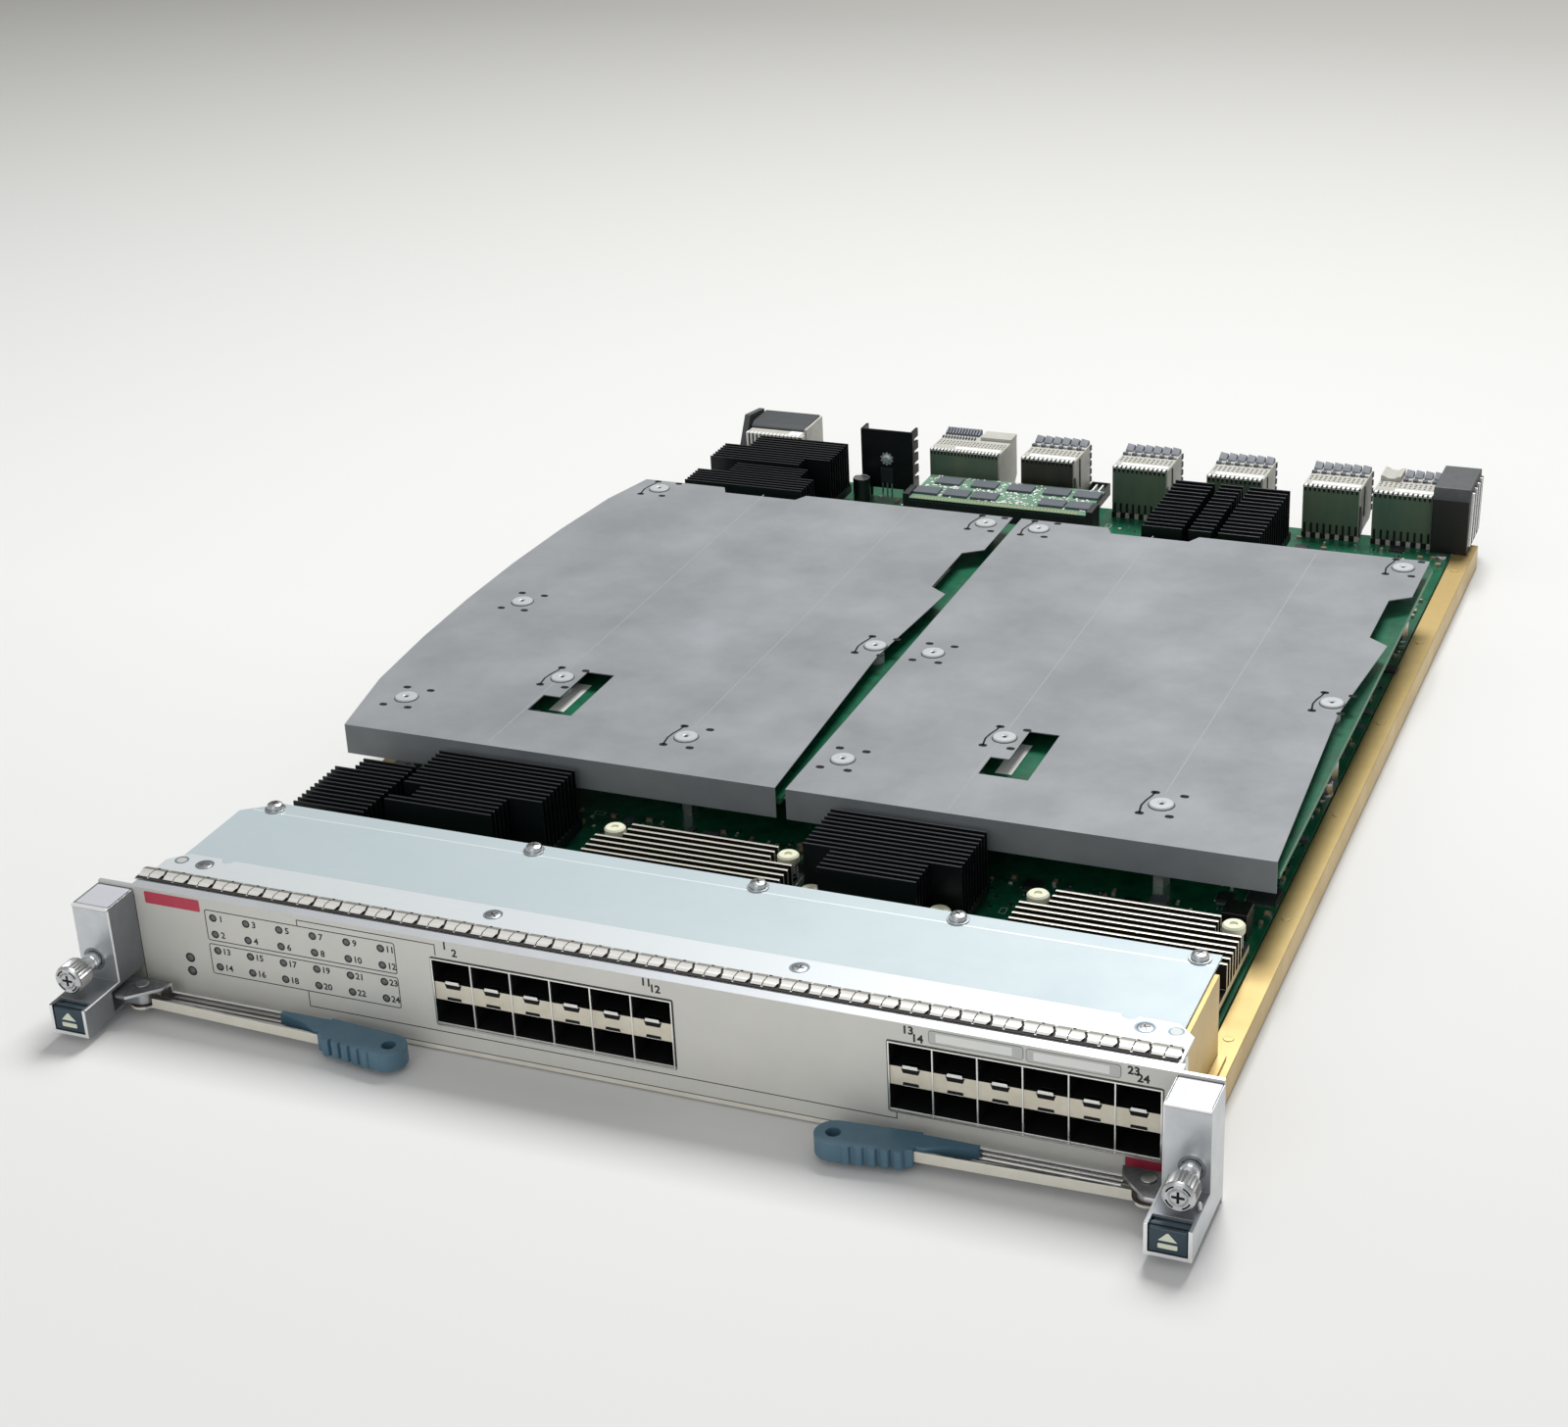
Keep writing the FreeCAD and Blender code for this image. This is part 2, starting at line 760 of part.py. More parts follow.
def cover_fasteners():
    tall = s.coverTop - s.coverThick - s.boardTop
    posts = []
    pans = []
    for x in panPlaces:
        post = prism(6, s.postAcross, x, s.screwRow, s.boardTop, tall)
        hole = prism(6, s.screwShank, x, s.screwRow, s.coverTop - s.coverThick - s.shankDepth,
                     s.shankDepth + 1)
        posts.append(cut(post, [hole]))
        shank = prism(6, s.screwShank, x, s.screwRow, s.coverTop - s.coverThick - s.shankDepth,
                      s.shankDepth + s.coverThick)
        washer = prism(8, s.panHead, x, s.screwRow, s.coverTop, s.panWasher)
        head = prism(8, s.panHead - s.panWasher * 3.6, x, s.screwRow, s.coverTop, s.panRise)
        pans.append(fuse([shank, washer, head]))
    node(group(posts), "cover_posts")
    node(group(pans), "cover_pan_screws")
    flats = [fuse([prism(8, s.flatHead, x, s.flatRow, s.coverTop, s.stripThick),
                   prism(6, s.screwShank, x, s.flatRow, s.coverTop - s.shankDepth, s.shankDepth)])
             for x in flatPlaces]
    node(group(flats), "cover_flat_screws")


def side_brackets():
    # Upright end plates beside the port blocks: the foot stands on the tray's flange, and the top is
    # folded in under the cover.
    pair = []
    under = s.coverTop - s.coverThick
    for side in (-1, 1):
        inner = side * s.bracketInner
        outer = side * (s.bracketInner + s.sheetWall)
        foot = side * (s.bracketInner + s.bracketFoot)
        top = side * (s.bracketInner - s.bracketTop)
        pair.append(plate("XZ", [
            (inner, s.trayTop), (foot, s.trayTop), (foot, s.trayTop + s.sheetWall),
            (outer, s.trayTop + s.sheetWall), (outer, under), (top, under), (top, under - s.sheetWall),
            (inner, under - s.sheetWall),
        ], s.bracketFront, s.bracketRear))
    node(group(pair), "side_brackets")


# ---- Ports -------------------------------------------------------------------------------------
def port_block(side, left):
    low = s.blockLow
    high = s.blockHigh
    front = panelFront - s.cageProud
    rear = s.cageDepth
    right = left + s.blockWide
    wall = s.cageWall
    outer = box(left, right, front, rear, low, high)
    inner = box(left + wall, right - wall, front - 1, rear + 1, low + wall, high - wall)
    foot = s.cageFoot
    feet = [box(x, x + foot, y, y + foot * 2, s.boardTop, low)
            for x in (left + foot, left + s.blockWide / 2, right - foot * 2)
            for y in (s.boardFront + foot * 2, rear - foot * 4)]
    node(fuse([cut(outer, [inner])] + feet), side + "_port_cage")
    half = wall / 2
    dividers = [box(left + s.portPitch * i - half, left + s.portPitch * i + half, front + s.bandInset, rear,
                    low + wall, high - wall) for i in range(1, portCount)]
    node(group(dividers), side + "_port_dividers")
    bandLow = (low + high - s.bandTall) / 2
    bandHigh = bandLow + s.bandTall
    bandFront = front + s.bandInset
    bands = []
    sockets = []
    back = rear - s.socketDepth
    for i in range(portCount):
        start = left + s.portPitch * i + (wall if i == 0 else half)
        end = left + s.portPitch * (i + 1) - (wall if i == portCount - 1 else half)
        middle = (start + end) / 2
        body = plate("YZ", [
            (bandFront, bandLow), (back, bandLow), (back, bandLow + wall), (bandFront + wall, bandLow + wall),
            (bandFront + wall, bandHigh - wall), (back, bandHigh - wall), (back, bandHigh),
            (bandFront, bandHigh),
        ], start, end)
        latch = s.latchWide / 2
        notches = [box(middle - latch, middle + latch, bandFront - 1, bandFront + s.latchLong, edge,
                       edge + s.latchDeep) for edge in (bandLow, bandHigh - s.latchDeep)]
        bands.append(cut(body, notches))
        socket = box(start + s.socketSide, end - s.socketSide, back, rear, low + wall, high - wall)
        slots = [box(middle - s.latchWide, middle + s.latchWide, back - 1, back + s.socketDepth / 2,
                     level, level + s.socketSlot)
                 for level in (bandLow - s.slotBelowBand, bandHigh + s.slotAboveBand)]
        sockets.append(cut(socket, slots))
    node(group(bands), side + "_port_separators")
    node(group(sockets), side + "_port_connectors")


# ---- Ejector at the right end, and its mirror image at the left ---------------------------------
def both_ends(item, name):
    node(item, "right_" + name)
    node(mirrored(item), "left_" + name)


def ejector_housing():
    wall = s.endWall
    body = plate("YZ", [
        (s.noseFront, s.noseLow), (panelFront, s.noseLow), (panelFront, s.towerHigh),
        (s.towerFront, s.towerHigh), (s.towerFront, s.noseHigh), (s.noseFront, s.noseHigh),
    ], s.endInner, s.endOuter)
    pivotPad = fuse([
        box(s.pivotX, s.endInner + s.padHalf, s.pivotY - s.padHalf, s.pivotY + s.padHalf, s.bayLow, s.padTop),
        prism(16, s.padHalf * 2, s.pivotX, s.pivotY, s.bayLow, s.padTop - s.bayLow),
    ])
    pivotHole = prism(16, s.pinHoleAcross, s.pivotX, s.pivotY, s.bayLow - 1, s.padTop - s.bayLow + 2)
    bay = box(s.endInner + wall, s.endOuter - wall, s.noseFront - 1, s.ribFront, s.noseLow + wall,
              s.noseHigh - wall)
    skyline = box(s.endInner + wall, s.endOuter - wall, s.noseFront - 1, s.noseFront + s.buttonTravel * 2.2,
                  s.noseLow + wall, s.noseHigh + 1)
    stemHole = prism(12, (s.stemRadius + s.fit) * 2, s.stemX, s.ribFront - 1, s.stemZ, wall + 2, "Y")
    leverBay = box(s.endInner - 1, s.endOuter - wall, s.ribFront + wall, panelFront + 1, s.bayLow, s.bayHigh)
    window = box(s.endOuter - wall * 2, s.endOuter + 1, s.windowFront, s.windowRear, s.bayLow + wall,
                 s.bayHigh)
    bore = prism(12, s.boreRadius * 2, s.screwX, s.towerFront - 1, s.screwZ, s.towerLip + 2, "Y")
    pocket = prism(12, s.pocketRadius * 2, s.screwX, s.boreBack, s.screwZ, panelFront - s.boreBack + 1, "Y")
    hollow = cut(body, [fuse([bay, skyline]), stemHole, fuse([leverBay, window]), fuse([bore, pocket])])
    both_ends(cut(fuse([hollow, pivotPad]), [pivotHole]), "ejector_housing")


def eject_button():
    wall = s.endWall
    left = s.endInner + wall + s.fit
    right = s.endOuter - wall - s.fit
    low = s.noseLow + wall + s.fit
    high = s.noseHigh - wall - s.fit
    front = s.noseFront + s.runFit * 4
    step = front + s.buttonTravel
    cap = plate("YZ", [
        (front, low), (s.buttonBack, low), (s.buttonBack, high), (step, high), (step, s.noseHigh),
        (front, s.noseHigh - s.buttonDrop),
    ], left, right)
    stem = prism(12, s.stemRadius * 2, s.stemX, s.buttonBack, s.stemZ, s.stemBack - s.buttonBack, "Y")
    both_ends(fuse([cap, stem]), "eject_button")
    both_ends(tube(12, s.buttonSpringOuter, s.buttonSpringOuter - s.springWire * 2, s.stemX, s.buttonBack,
                   s.stemZ, s.ribFront - s.buttonBack, "Y"), "button_spring")


def lever_arm():
    thick = s.leverThick
    floorTop = s.leverFloor + thick
    base = plate("XY", [
        (s.handleJoint, s.channelFrontInner), (s.channelEnd, s.channelFront),
        (s.pivotX, s.pivotY - s.lugRadius),
        (s.pivotX, s.channelBack), (s.handleJoint, s.channelBack),
    ], s.leverFloor, floorTop)
    slope = (s.channelFront - s.channelFrontInner)
    front = plate("XY", [
        (s.handleJoint, s.channelFrontInner), (s.channelEnd, s.channelFrontInner + slope),
        (s.channelEnd, s.channelFrontInner + slope + thick), (s.handleJoint, s.channelFrontInner + thick),
    ], s.leverFloor, s.channelTop)
    webEnd = s.pivotX - s.padHalf - s.fit * 2
    back = box(s.handleJoint, webEnd, s.channelBack - thick, s.channelBack, s.leverFloor, s.channelTop)
    lugTop = s.lugLow + s.lugThick
    web = box(webEnd - 5, webEnd, s.channelBack - thick, s.channelBack, s.leverFloor, lugTop)
    disc = prism(20, s.lugRadius * 2, s.pivotX, s.pivotY, s.leverFloor, thick)
    rearEdge = s.channelBack - s.pivotY
    tip = -s.clawTipStep
    claw = [(-s.clawTail, rearEdge), (s.clawShoulder, rearEdge), (s.clawWaist, rearEdge / 1.3),
            (s.clawWaist + s.clawTip, rearEdge / 4.6), (s.clawHook, tip / 4), (s.clawReach, tip),
            (s.clawReach, tip - s.clawTip), (s.clawFront, tip - s.clawTip), (s.clawHeel, -s.clawFront),
            (s.clawHeel / 5, -s.clawFront), (thick - s.clawTail, 0)]
    lug = plate("XY", [(s.pivotX + u, s.pivotY + v) for u, v in claw], s.lugLow, lugTop)
    hole = prism(16, s.pinSeatAcross, s.pivotX, s.pivotY, s.leverFloor - 1, lugTop - s.leverFloor + 2)
    both_ends(cut(fuse([base, front, back, web, disc, lug]), [hole]), "lever_arm")
    shank = rod(s.pinRadius, s.pivotX, s.pivotY, s.leverFloor - s.pinHeadThick,
                lugTop - s.leverFloor + s.pinHeadThick * 2)
    heads = [prism(10, s.pinHeadAcross, s.pivotX, s.pivotY, level, s.pinHeadThick)
             for level in (s.leverFloor - s.pinHeadThick, lugTop)]
    both_ends(fuse([shank] + heads), "lever_pivot_pin")


def lever_handle():
    # The grip hangs below the channel's end; its tongue lies in the channel, between the walls.
    thick = s.leverThick
    grip = plate("XY", [
        (s.handleHoleX, s.handleHoleY + s.handleRadius), (s.handleHoleX, s.handleHoleY - s.handleRadius),
        (s.handleHoleX + 4, s.handleHoleY - s.handleRadius + 0.7), (s.handleJoint, s.channelFrontInner - 1.2),
        (s.handleJoint, s.channelBack),
    ], s.handleLow, s.handleTop)
    tip = prism(24, s.handleRadius * 2, s.handleEnd + s.handleRadius, s.handleHoleY, s.handleLow,
              s.handleTop - s.handleLow)
    ribX = s.handleHoleX + s.handleHoleIn
    ribY = s.handleHoleY - s.handleRadius + s.gripRadius
    ribs = [prism(8, s.gripRadius * 2, ribX + s.gripPitch * i, ribY + s.gripSlope * i, s.handleLow,
                  s.handleTall) for i in range(5)]
    tongue = plate("XY", [
        (s.handleJoint - 1, s.channelFrontInner + thick),
        (s.handleJoint + 3, s.channelFrontInner + thick + 0.2),
        (s.handleJoint + 9, s.channelBack - 5), (s.tongueTip, s.channelBack - thick - 2),
        (s.tongueTip, s.channelBack - thick), (s.handleJoint - 1, s.channelBack - thick),
    ], s.leverFloor + thick, s.handleTop)
    hole = prism(12, s.handleHoleRadius * 2, s.handleHoleX, s.handleHoleY, s.handleLow - 1,
               s.handleTop - s.handleLow + 2)
    both_ends(cut(fuse([grip, tip, tongue] + ribs), [hole]), "lever_handle")


def captive_screw():
    knob = prism(24, s.knobRadius * 2, s.screwX, s.knobFront, s.screwZ, s.knobBack - s.knobFront, "Y")
    groove = prism(12, s.knobBore * 2, s.screwX, s.knobFront - 1, s.screwZ, 2, "Y")
    neck = prism(12, s.neckRadius * 2, s.screwX, s.knobFront + 2, s.screwZ, s.neckBack - s.knobFront - 2, "Y")
    shank = prism(16, s.shankRadius * 2, s.screwX, s.neckBack, s.screwZ, s.fit - s.neckBack + 1, "Y")
    thread = rod(s.threadRadius, s.screwX, s.fit, s.screwZ, s.shankPast - s.fit, "Y")
    face = s.knobFront
    slots = [box(s.screwX - a, s.screwX + a, face, face + s.slotDeep, s.screwZ - b, s.screwZ + b)
             for a, b in ((s.slotReach, s.slotWide / 2), (s.slotWide / 2, s.slotReach))]
    both_ends(cut(fuse([cut(knob, [groove]), neck, shank, thread]), [fuse(slots)]), "captive_screw")
    back = s.boreBack + s.runFit * 2
    both_ends(tube(16, s.collarRadius * 2, s.collarHoleAcross, s.screwX, back, s.screwZ, s.collarThick, "Y"),
              "captive_screw_collar")
    start = back + s.collarThick
    outer = (s.collarRadius - s.fit) * 2
    both_ends(tube(12, outer, outer - s.springWire * 2, s.screwX, start, s.screwZ, panelFront - start, "Y"),
              "captive_screw_spring")


# ---- Forwarding boards under their insulating sheets ---------------------------------------------
sheetEdges = {"left": -s.middleGap - s.daughterWide, "right": s.middleGap}
farStuds = s.daughterWide - s.studOtherSide
firstStuds = s.sheetFront + s.studFrontRow
midStuds = s.sheetFront + s.studMiddleRow
lastStuds = s.sheetRear - s.studRearRow
windowStuds = s.sheetFront + s.studWindowRow
studPlaces = ((s.studSide, firstStuds), (s.daughterWide - s.studBay, firstStuds),
              (s.studWindowSide, windowStuds), (s.studSide, midStuds), (farStuds, midStuds),
              (s.studSide, lastStuds), (farStuds, lastStuds))


def forwarding_board(side, left):
    wide = s.daughterWide
    outline = [(left, s.daughterFront), (left + wide, s.daughterFront), (left + wide, s.daughterRear),
               (left, s.daughterRear)]
    body = plate("XY", outline, s.daughterTop - s.boardThick, s.daughterTop)
    node(body, side + "_forwarding_board")


def forwarding_posts():
    tall = s.daughterTop - s.boardThick - s.boardTop
    posts = [prism(6, s.postAcrossDaughter, left + u, v, s.boardTop, tall)
             for left in sheetEdges.values() for u, v in studPlaces]
    node(group(posts), "forwarding_posts")


def cover_studs():
    studs = []
    for left in sheetEdges.values():
        for u, v in studPlaces:
            shoulder = prism(6, s.studShoulder, left + u, v, s.daughterTop, s.sheetTop - s.daughterTop)
            cap = prism(6, s.studCap, left + u, v, s.sheetTop, s.studCapThick)
            studs.append(fuse([shoulder, cap]))
    node(group(studs), "cover_studs")


def insulating_cover(side, left):
    # A folded plastic sheet: flat top, front lip, a rear notch, a side notch and an inspection window.
    right = left + s.daughterWide
    span = s.sheetRear - s.sheetFront
    shares = (0.9, 0.75, 0.6, 0.45, 0.3, 0.15) if side == "left" else ()
    bowed = [(left - s.sheetBulge * math.sin(math.pi * share) ** 0.6, s.sheetFront + span * share)
             for share in shares]
    waist = s.sheetFront + s.waistAt
    sideStart = s.sheetRear - s.sideNotchStart
    sideEnd = sideStart + s.sideNotchLong
    rearStart = left + s.rearNotchLeft
    rearEnd = rearStart + s.rearNotchLong
    outline = [(left, s.sheetFront), (right, s.sheetFront), (right - s.sheetWaist, waist),
               (right, sideStart - s.notchSlope), (right - s.sideNotchDeep, sideStart),
               (right - s.sideNotchDeep, sideEnd), (right, sideEnd + s.notchSlope), (right, s.sheetRear),
               (rearEnd, s.sheetRear), (rearEnd - s.rearNotchSlope, s.sheetRear - s.rearNotchDeep),
               (rearStart + s.rearNotchSlope, s.sheetRear - s.rearNotchDeep), (rearStart, s.sheetRear),
               (left, s.sheetRear)] + bowed
    top = plate("XY", outline, s.sheetTop - s.sheetThick, s.sheetTop)
    lip = box(left, right, s.sheetFront, s.sheetFront + s.sheetThick, s.sheetTop - s.lipDrop, s.sheetTop)
    low = s.sheetTop - s.sheetThick * 2
    holes = [prism(6, s.studShoulder, left + u, v, low, s.sheetThick * 3) for u, v in studPlaces]
    edge = left + s.windowLeft
    front = s.sheetFront + s.windowStart
    holes.append(fuse([
        box(edge, edge + s.windowWide, front, front + s.windowLong, low, s.sheetTop + 1),
        box(edge + s.windowStep, edge + s.windowWide, front, front + s.windowTotal, low, s.sheetTop + 1),
    ]))
    node(cut(fuse([top, lip]), holes), side + "_insulating_cover")


# ---- Heatsinks, chips and pins ---------------------------------------------------------------------
def finned(label, chip, base, runs, top, baseTop, pitch, thick, pins=()):
    # A base plate with fins along X. Each run is (left, right, first fin, number of fins). Pins pass
    # through holes in the base, and each presses on it with a spring.
    body = plate("XY", base, s.chipTop, baseTop)
    for left, right, first, count in runs:
        fin = pad(body, "XY", rectangle(left, right, first, first + thick), baseTop, top)
        if count > 1:
            row(body, fin, "Y", pitch, count)
    if pins:
        holes = [prism(6, s.pushShaft, x, y, s.boardTop, baseTop - s.boardTop + 1) for x, y in pins]
        body = cut(body, holes)
    coolers.setdefault(label, []).append(body)
    pinPlaces.extend((x, y, baseTop) for x, y in pins)
    chips.append(box(chip[0], chip[1], chip[2], chip[3], s.boardTop, s.chipTop))


chips = []
coolers = {}
pinPlaces = []


def black_heatsink(label, left, front, wide, runs, lower=0, pins=()):
    # A run here is (left edge's offset, width, first fin's number, number of fins).
    pitch = s.finPitch
    total = sum(run[3] for run in runs)
    rear = front + pitch * total
    inset = s.chipInset
    finned(label, (left + inset, left + wide - inset, front + inset, rear - inset),
           rectangle(left, left + wide, front, rear),
           [(left + shift, left + shift + long, front + pitch * first, count)
            for shift, long, first, count in runs],
           s.coolTop - lower, s.coolFloor, pitch, s.finThick, pins)


def heatsinks():
    inner = s.innerCoolWide
    black_heatsink("front_left_heatsinks", -s.innerCoolLeft, s.frontCoolRow, inner,
                   [(0, s.innerCoolShort, 0, 2), (s.innerCoolStep, s.innerCoolShort - s.innerCoolStep, 2, 3),
                    (0, inner, 5, 10)])
    outer = s.outerCoolWide
    black_heatsink("front_left_heatsinks", -s.outerCoolLeft, s.outerCoolRow, outer,
                   [(0, outer, 0, 11), (s.outerCoolStep, outer - s.outerCoolStep, 11, 3)], s.coolDrop)
    centre = s.centreCoolWide
    pinY = s.frontCoolRow + s.pinRow
    black_heatsink("front_centre_heatsink", s.centreCoolLeft, s.frontCoolRow, centre,
                   [(s.centreCoolStep, centre - s.centreCoolStep * 2, 0, 5), (0, centre, 5, 10)], 0,
                   [(s.centreCoolLeft + s.pinFrame, pinY), (s.centreCoolLeft + centre - s.pinFrame, pinY)])
    rear = s.rearCoolWide
    step = s.rearCoolStep
    black_heatsink("rear_left_heatsinks", -s.rearCoolLeft, s.cardDepth - s.rearCoolGap, rear,
                   [(0, rear - step, 0, 3), (0, rear, 3, 4), (step, rear - step, 7, 5)])
    back = s.backCoolWide
    step = s.backCoolStep
    black_heatsink("rear_left_heatsinks", -s.rearCoolLeft, s.cardDepth - s.backCoolGap, back,
                   [(0, back, 0, 6), (step, back - step * 1.5, 6, 4)], s.coolDrop)
    pitch = s.naturalPitch
    step = s.naturalStep
    front = s.naturalRow
    for side, left in (("left", -s.leftNaturalLeft), ("right", s.rightNaturalLeft)):
        right = left + s.naturalWide
        rear = front + pitch * 11 + s.naturalFin
        inset = s.chipInset
        pinY = front + s.naturalPinRow
        finned(side + "_phy_heatsink", (left + inset * 2, right - inset * 2, front + inset, rear - inset),
               rectangle(left, right, front, rear),
               [(left + step, right - step, front, 3), (left, right, front + pitch * 3, 6),
                (left + step, right - step, front + pitch * 9, 3)],
               s.naturalTop, s.naturalFloor, pitch, s.naturalFin,
               [(left + s.naturalPinIn, pinY), (right - s.naturalPinIn, pinY)])
    for label, bodies in coolers.items():
        node(group(bodies) if len(bodies) > 1 else bodies[0], label)


def rear_centre_heatsink():
    # Fins along X, crossed by two channels.
    left = s.crossLeft
    right = left + s.crossWide
    front = s.cardDepth - s.crossGap
    rear = front + s.crossLong
    body = plate("XY", rectangle(left, right, front, rear), s.chipTop, s.coolFloor)
    fin = pad(body, "XY", rectangle(left, right, front, front + s.finThick), s.coolFloor, s.coolTop)
    row(body, fin, "Y", s.finPitch * 1.5, 14)
    channels = [box(left + start, left + start + s.crossChannel, front - 1, rear + 1, s.coolFloor,
                    s.coolTop + 1) for start in (s.crossFirst, s.crossSecond)]
    node(cut(body, channels), "rear_centre_heatsink")
    inset = s.chipInset
    chips.append(box(left + inset, right - inset, front + inset, rear - inset, s.boardTop, s.chipTop))


def push_pins():
    pins = []
    springs = []
    for x, y, seat in pinPlaces:
        low = s.pushTop - s.pushCapThick
        shaft = prism(6, s.pushShaft, x, y, s.boardTop, s.pushTop - s.boardTop)
        pins.append(fuse([shaft, prism(8, s.pushCap, x, y, low, s.pushCapThick)]))
        springs.append(tube(6, s.pushSpring, s.pushSpring - s.springWire * 2, x, y, seat, low - seat))
    node(group(pins), "push_pins")
    node(group(springs), "push_pin_springs")


# ---- Rear row ---------------------------------------------------------------------------------------
def backplane_connectors():
    middle = [(s.plugPitch * i - s.thirdPlug, s.plugWide) for i in range(4)]
    places = [(-s.firstPlug, s.leftPlugWide), (-s.secondPlug, s.powerPlugWide)] + middle
    places.append((s.lastPlug, s.rightPlugWide))
    plugs = []
    for left, wide in places:
        plugs.append(plate("YZ", [
            (s.plugFront, s.boardTop), (s.cardDepth - s.plugChamfer, s.boardTop),
            (s.cardDepth, s.boardTop + s.plugChamfer), (s.cardDepth, s.plugRearTop - s.plugCapBevel),
            (s.plugStep, s.plugRearTop), (s.plugStep, s.plugTop), (s.plugFront, s.plugTop),
        ], left, left + wide))
    front = s.boardRear - s.headerLong
    header = box(s.headerLeft, s.headerLeft + s.headerWide, front, front + s.headerLong + s.headerPast,
                 s.boardTop, s.boardTop + s.headerTall)
    node(group(plugs + [header]), "backplane_connectors")


def connector_guides():
    front = s.cardDepth - s.guideFront
    rear = s.cardDepth - s.guideRear
    top = s.boardTop + s.guideTall
    nose = s.boardTop + s.guideChin
    slant = s.guideSlant
    crown = rear - s.guideCrown
    left = plate("YZ", [
        (front, s.boardTop), (rear, s.boardTop), (rear + slant, top - slant), (crown, top),
        (crown - slant, top - s.guideChin), (front, nose),
    ], -s.firstPlug - s.guideThin, -s.firstPlug)
    start = s.lastPlug + s.rightPlugWide
    front = front + s.guideChin
    rear = rear + s.guideChin
    right = plate("YZ", [
        (front, s.boardTop), (rear, s.boardTop), (rear, top), (front + slant, top), (front, top - slant * 2),
    ], start, start + s.guideWide)
    node(group([left, right]), "connector_guides")


def regulator():
    # A pressed plate with two folded sides, each slit into tabs, on two feet.
    left = -s.regulatorLeft
    right = left + s.regulatorWide
    front = s.cardDepth - s.regulatorGap
    rear = front + s.regulatorDeep
    wall = s.regulatorWall
    low = s.boardTop + s.regulatorFoot
    body = plate("XY", [(left, rear), (left, front), (right, front), (right, rear), (right - wall, rear),
                        (right - wall, front + wall), (left + wall, front + wall), (left + wall, rear)],
                 low, low + s.regulatorTall)
    slots = [box(side - wall, side + wall * 2, front + wall * 2.5, rear + 1, low + s.tabPitch * i - 1,
                 low + s.tabPitch * i - 1 + s.tabGap)
             for side in (left, right - wall) for i in range(1, 5)]
    feet = [box(x, x + wall, front, front + wall, s.boardTop, low)
            for x in (left + s.regulatorFoot, right - s.regulatorFoot - wall)]
    node(fuse([cut(body, slots)] + feet), "regulator_heatsink")


def memory():
    level = s.moduleLevel
    left = -s.moduleLeft
    right = left + s.moduleWide
    front = s.moduleFront
    node(plate("XY", rectangle(left, right, front, front + s.moduleLong), level, level + s.moduleThick),
         "memory_module")
    ledge = box(left - s.latchEnd, right + s.latchEnd, front, front + s.ledgeLong, s.boardTop, level)
    latches = [box(edge, edge + s.latchEnd, front, front + s.endLatchLong, s.boardTop, level + s.latchEnd)
               for edge in (left - s.latchEnd, right)]
    node(fuse([ledge] + latches), "memory_socket")


def small_parts():
    capacitor = prism(12, s.capacitorAcross, -s.capacitorLeft, s.cardDepth - s.capacitorGap, s.boardTop,
                      s.capacitorTall)
    inductor = box(s.inductorRight - s.inductorWide, s.inductorRight, s.inductorFront,
                   s.inductorFront + s.inductorLong, s.boardTop, s.boardTop + s.inductorTall)
    node(group([capacitor, inductor]), "capacitor_and_inductor")
    node(group(chips), "chips")


faceplate()
status_light_pipes()
carrier_tray()
main_board()
board_standoffs()
top_cover()
front_strip()
emi_finger_strip()
cover_fasteners()
side_brackets()
for side, left in blocks.items():
    port_block(side, left)
ejector_housing()
eject_button()
lever_arm()
lever_handle()
captive_screw()
for side, left in sheetEdges.items():
    forwarding_board(side, left)
    insulating_cover(side, left)
forwarding_posts()
cover_studs()
heatsinks()
rear_centre_heatsink()
push_pins()
backplane_connectors()
connector_guides()
regulator()
memory()
small_parts()

doc.recompute()
for item in doc.Objects:
    if "Invalid" in item.State or "Error" in item.State:
        raise RuntimeError("%s (%s) did not build: %s" % (item.Name, item.Label, item.State))
triangles = 0
for label, item in nodes.items():
    shape = item.Shape
    if shape.isNull() or not shape.isValid() or not shape.Solids:
        raise RuntimeError("%s has no sound solid" % label)
    triangles += len(shape.tessellate(0.05)[1])
os.makedirs("parts", exist_ok=True)
for label, item in nodes.items():
    item.Shape.exportStep("parts/%s.step" % label)
bounds = FreeCAD.BoundBox()
for item in nodes.values():
    bounds.add(item.Shape.BoundBox)
print("%d nodes, %d triangles, %s" % (len(nodes), triangles, bounds))
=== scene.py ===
import json
import math
import random

import bmesh
import bpy
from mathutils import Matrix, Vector


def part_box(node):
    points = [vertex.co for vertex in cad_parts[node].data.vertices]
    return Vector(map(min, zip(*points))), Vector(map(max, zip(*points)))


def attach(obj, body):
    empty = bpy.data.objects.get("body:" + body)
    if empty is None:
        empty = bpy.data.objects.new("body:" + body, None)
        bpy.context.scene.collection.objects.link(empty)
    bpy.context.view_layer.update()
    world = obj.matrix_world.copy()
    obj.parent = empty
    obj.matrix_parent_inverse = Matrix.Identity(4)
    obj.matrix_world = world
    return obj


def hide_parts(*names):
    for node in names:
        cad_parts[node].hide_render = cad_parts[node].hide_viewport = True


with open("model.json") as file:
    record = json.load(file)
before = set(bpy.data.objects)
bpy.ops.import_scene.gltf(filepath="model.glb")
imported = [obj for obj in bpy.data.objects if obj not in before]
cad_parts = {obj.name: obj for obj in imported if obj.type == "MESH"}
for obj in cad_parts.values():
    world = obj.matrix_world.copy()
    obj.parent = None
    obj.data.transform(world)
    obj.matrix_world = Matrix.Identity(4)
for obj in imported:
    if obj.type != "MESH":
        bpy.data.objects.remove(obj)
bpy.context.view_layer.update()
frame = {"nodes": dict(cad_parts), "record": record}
mm = 0.001
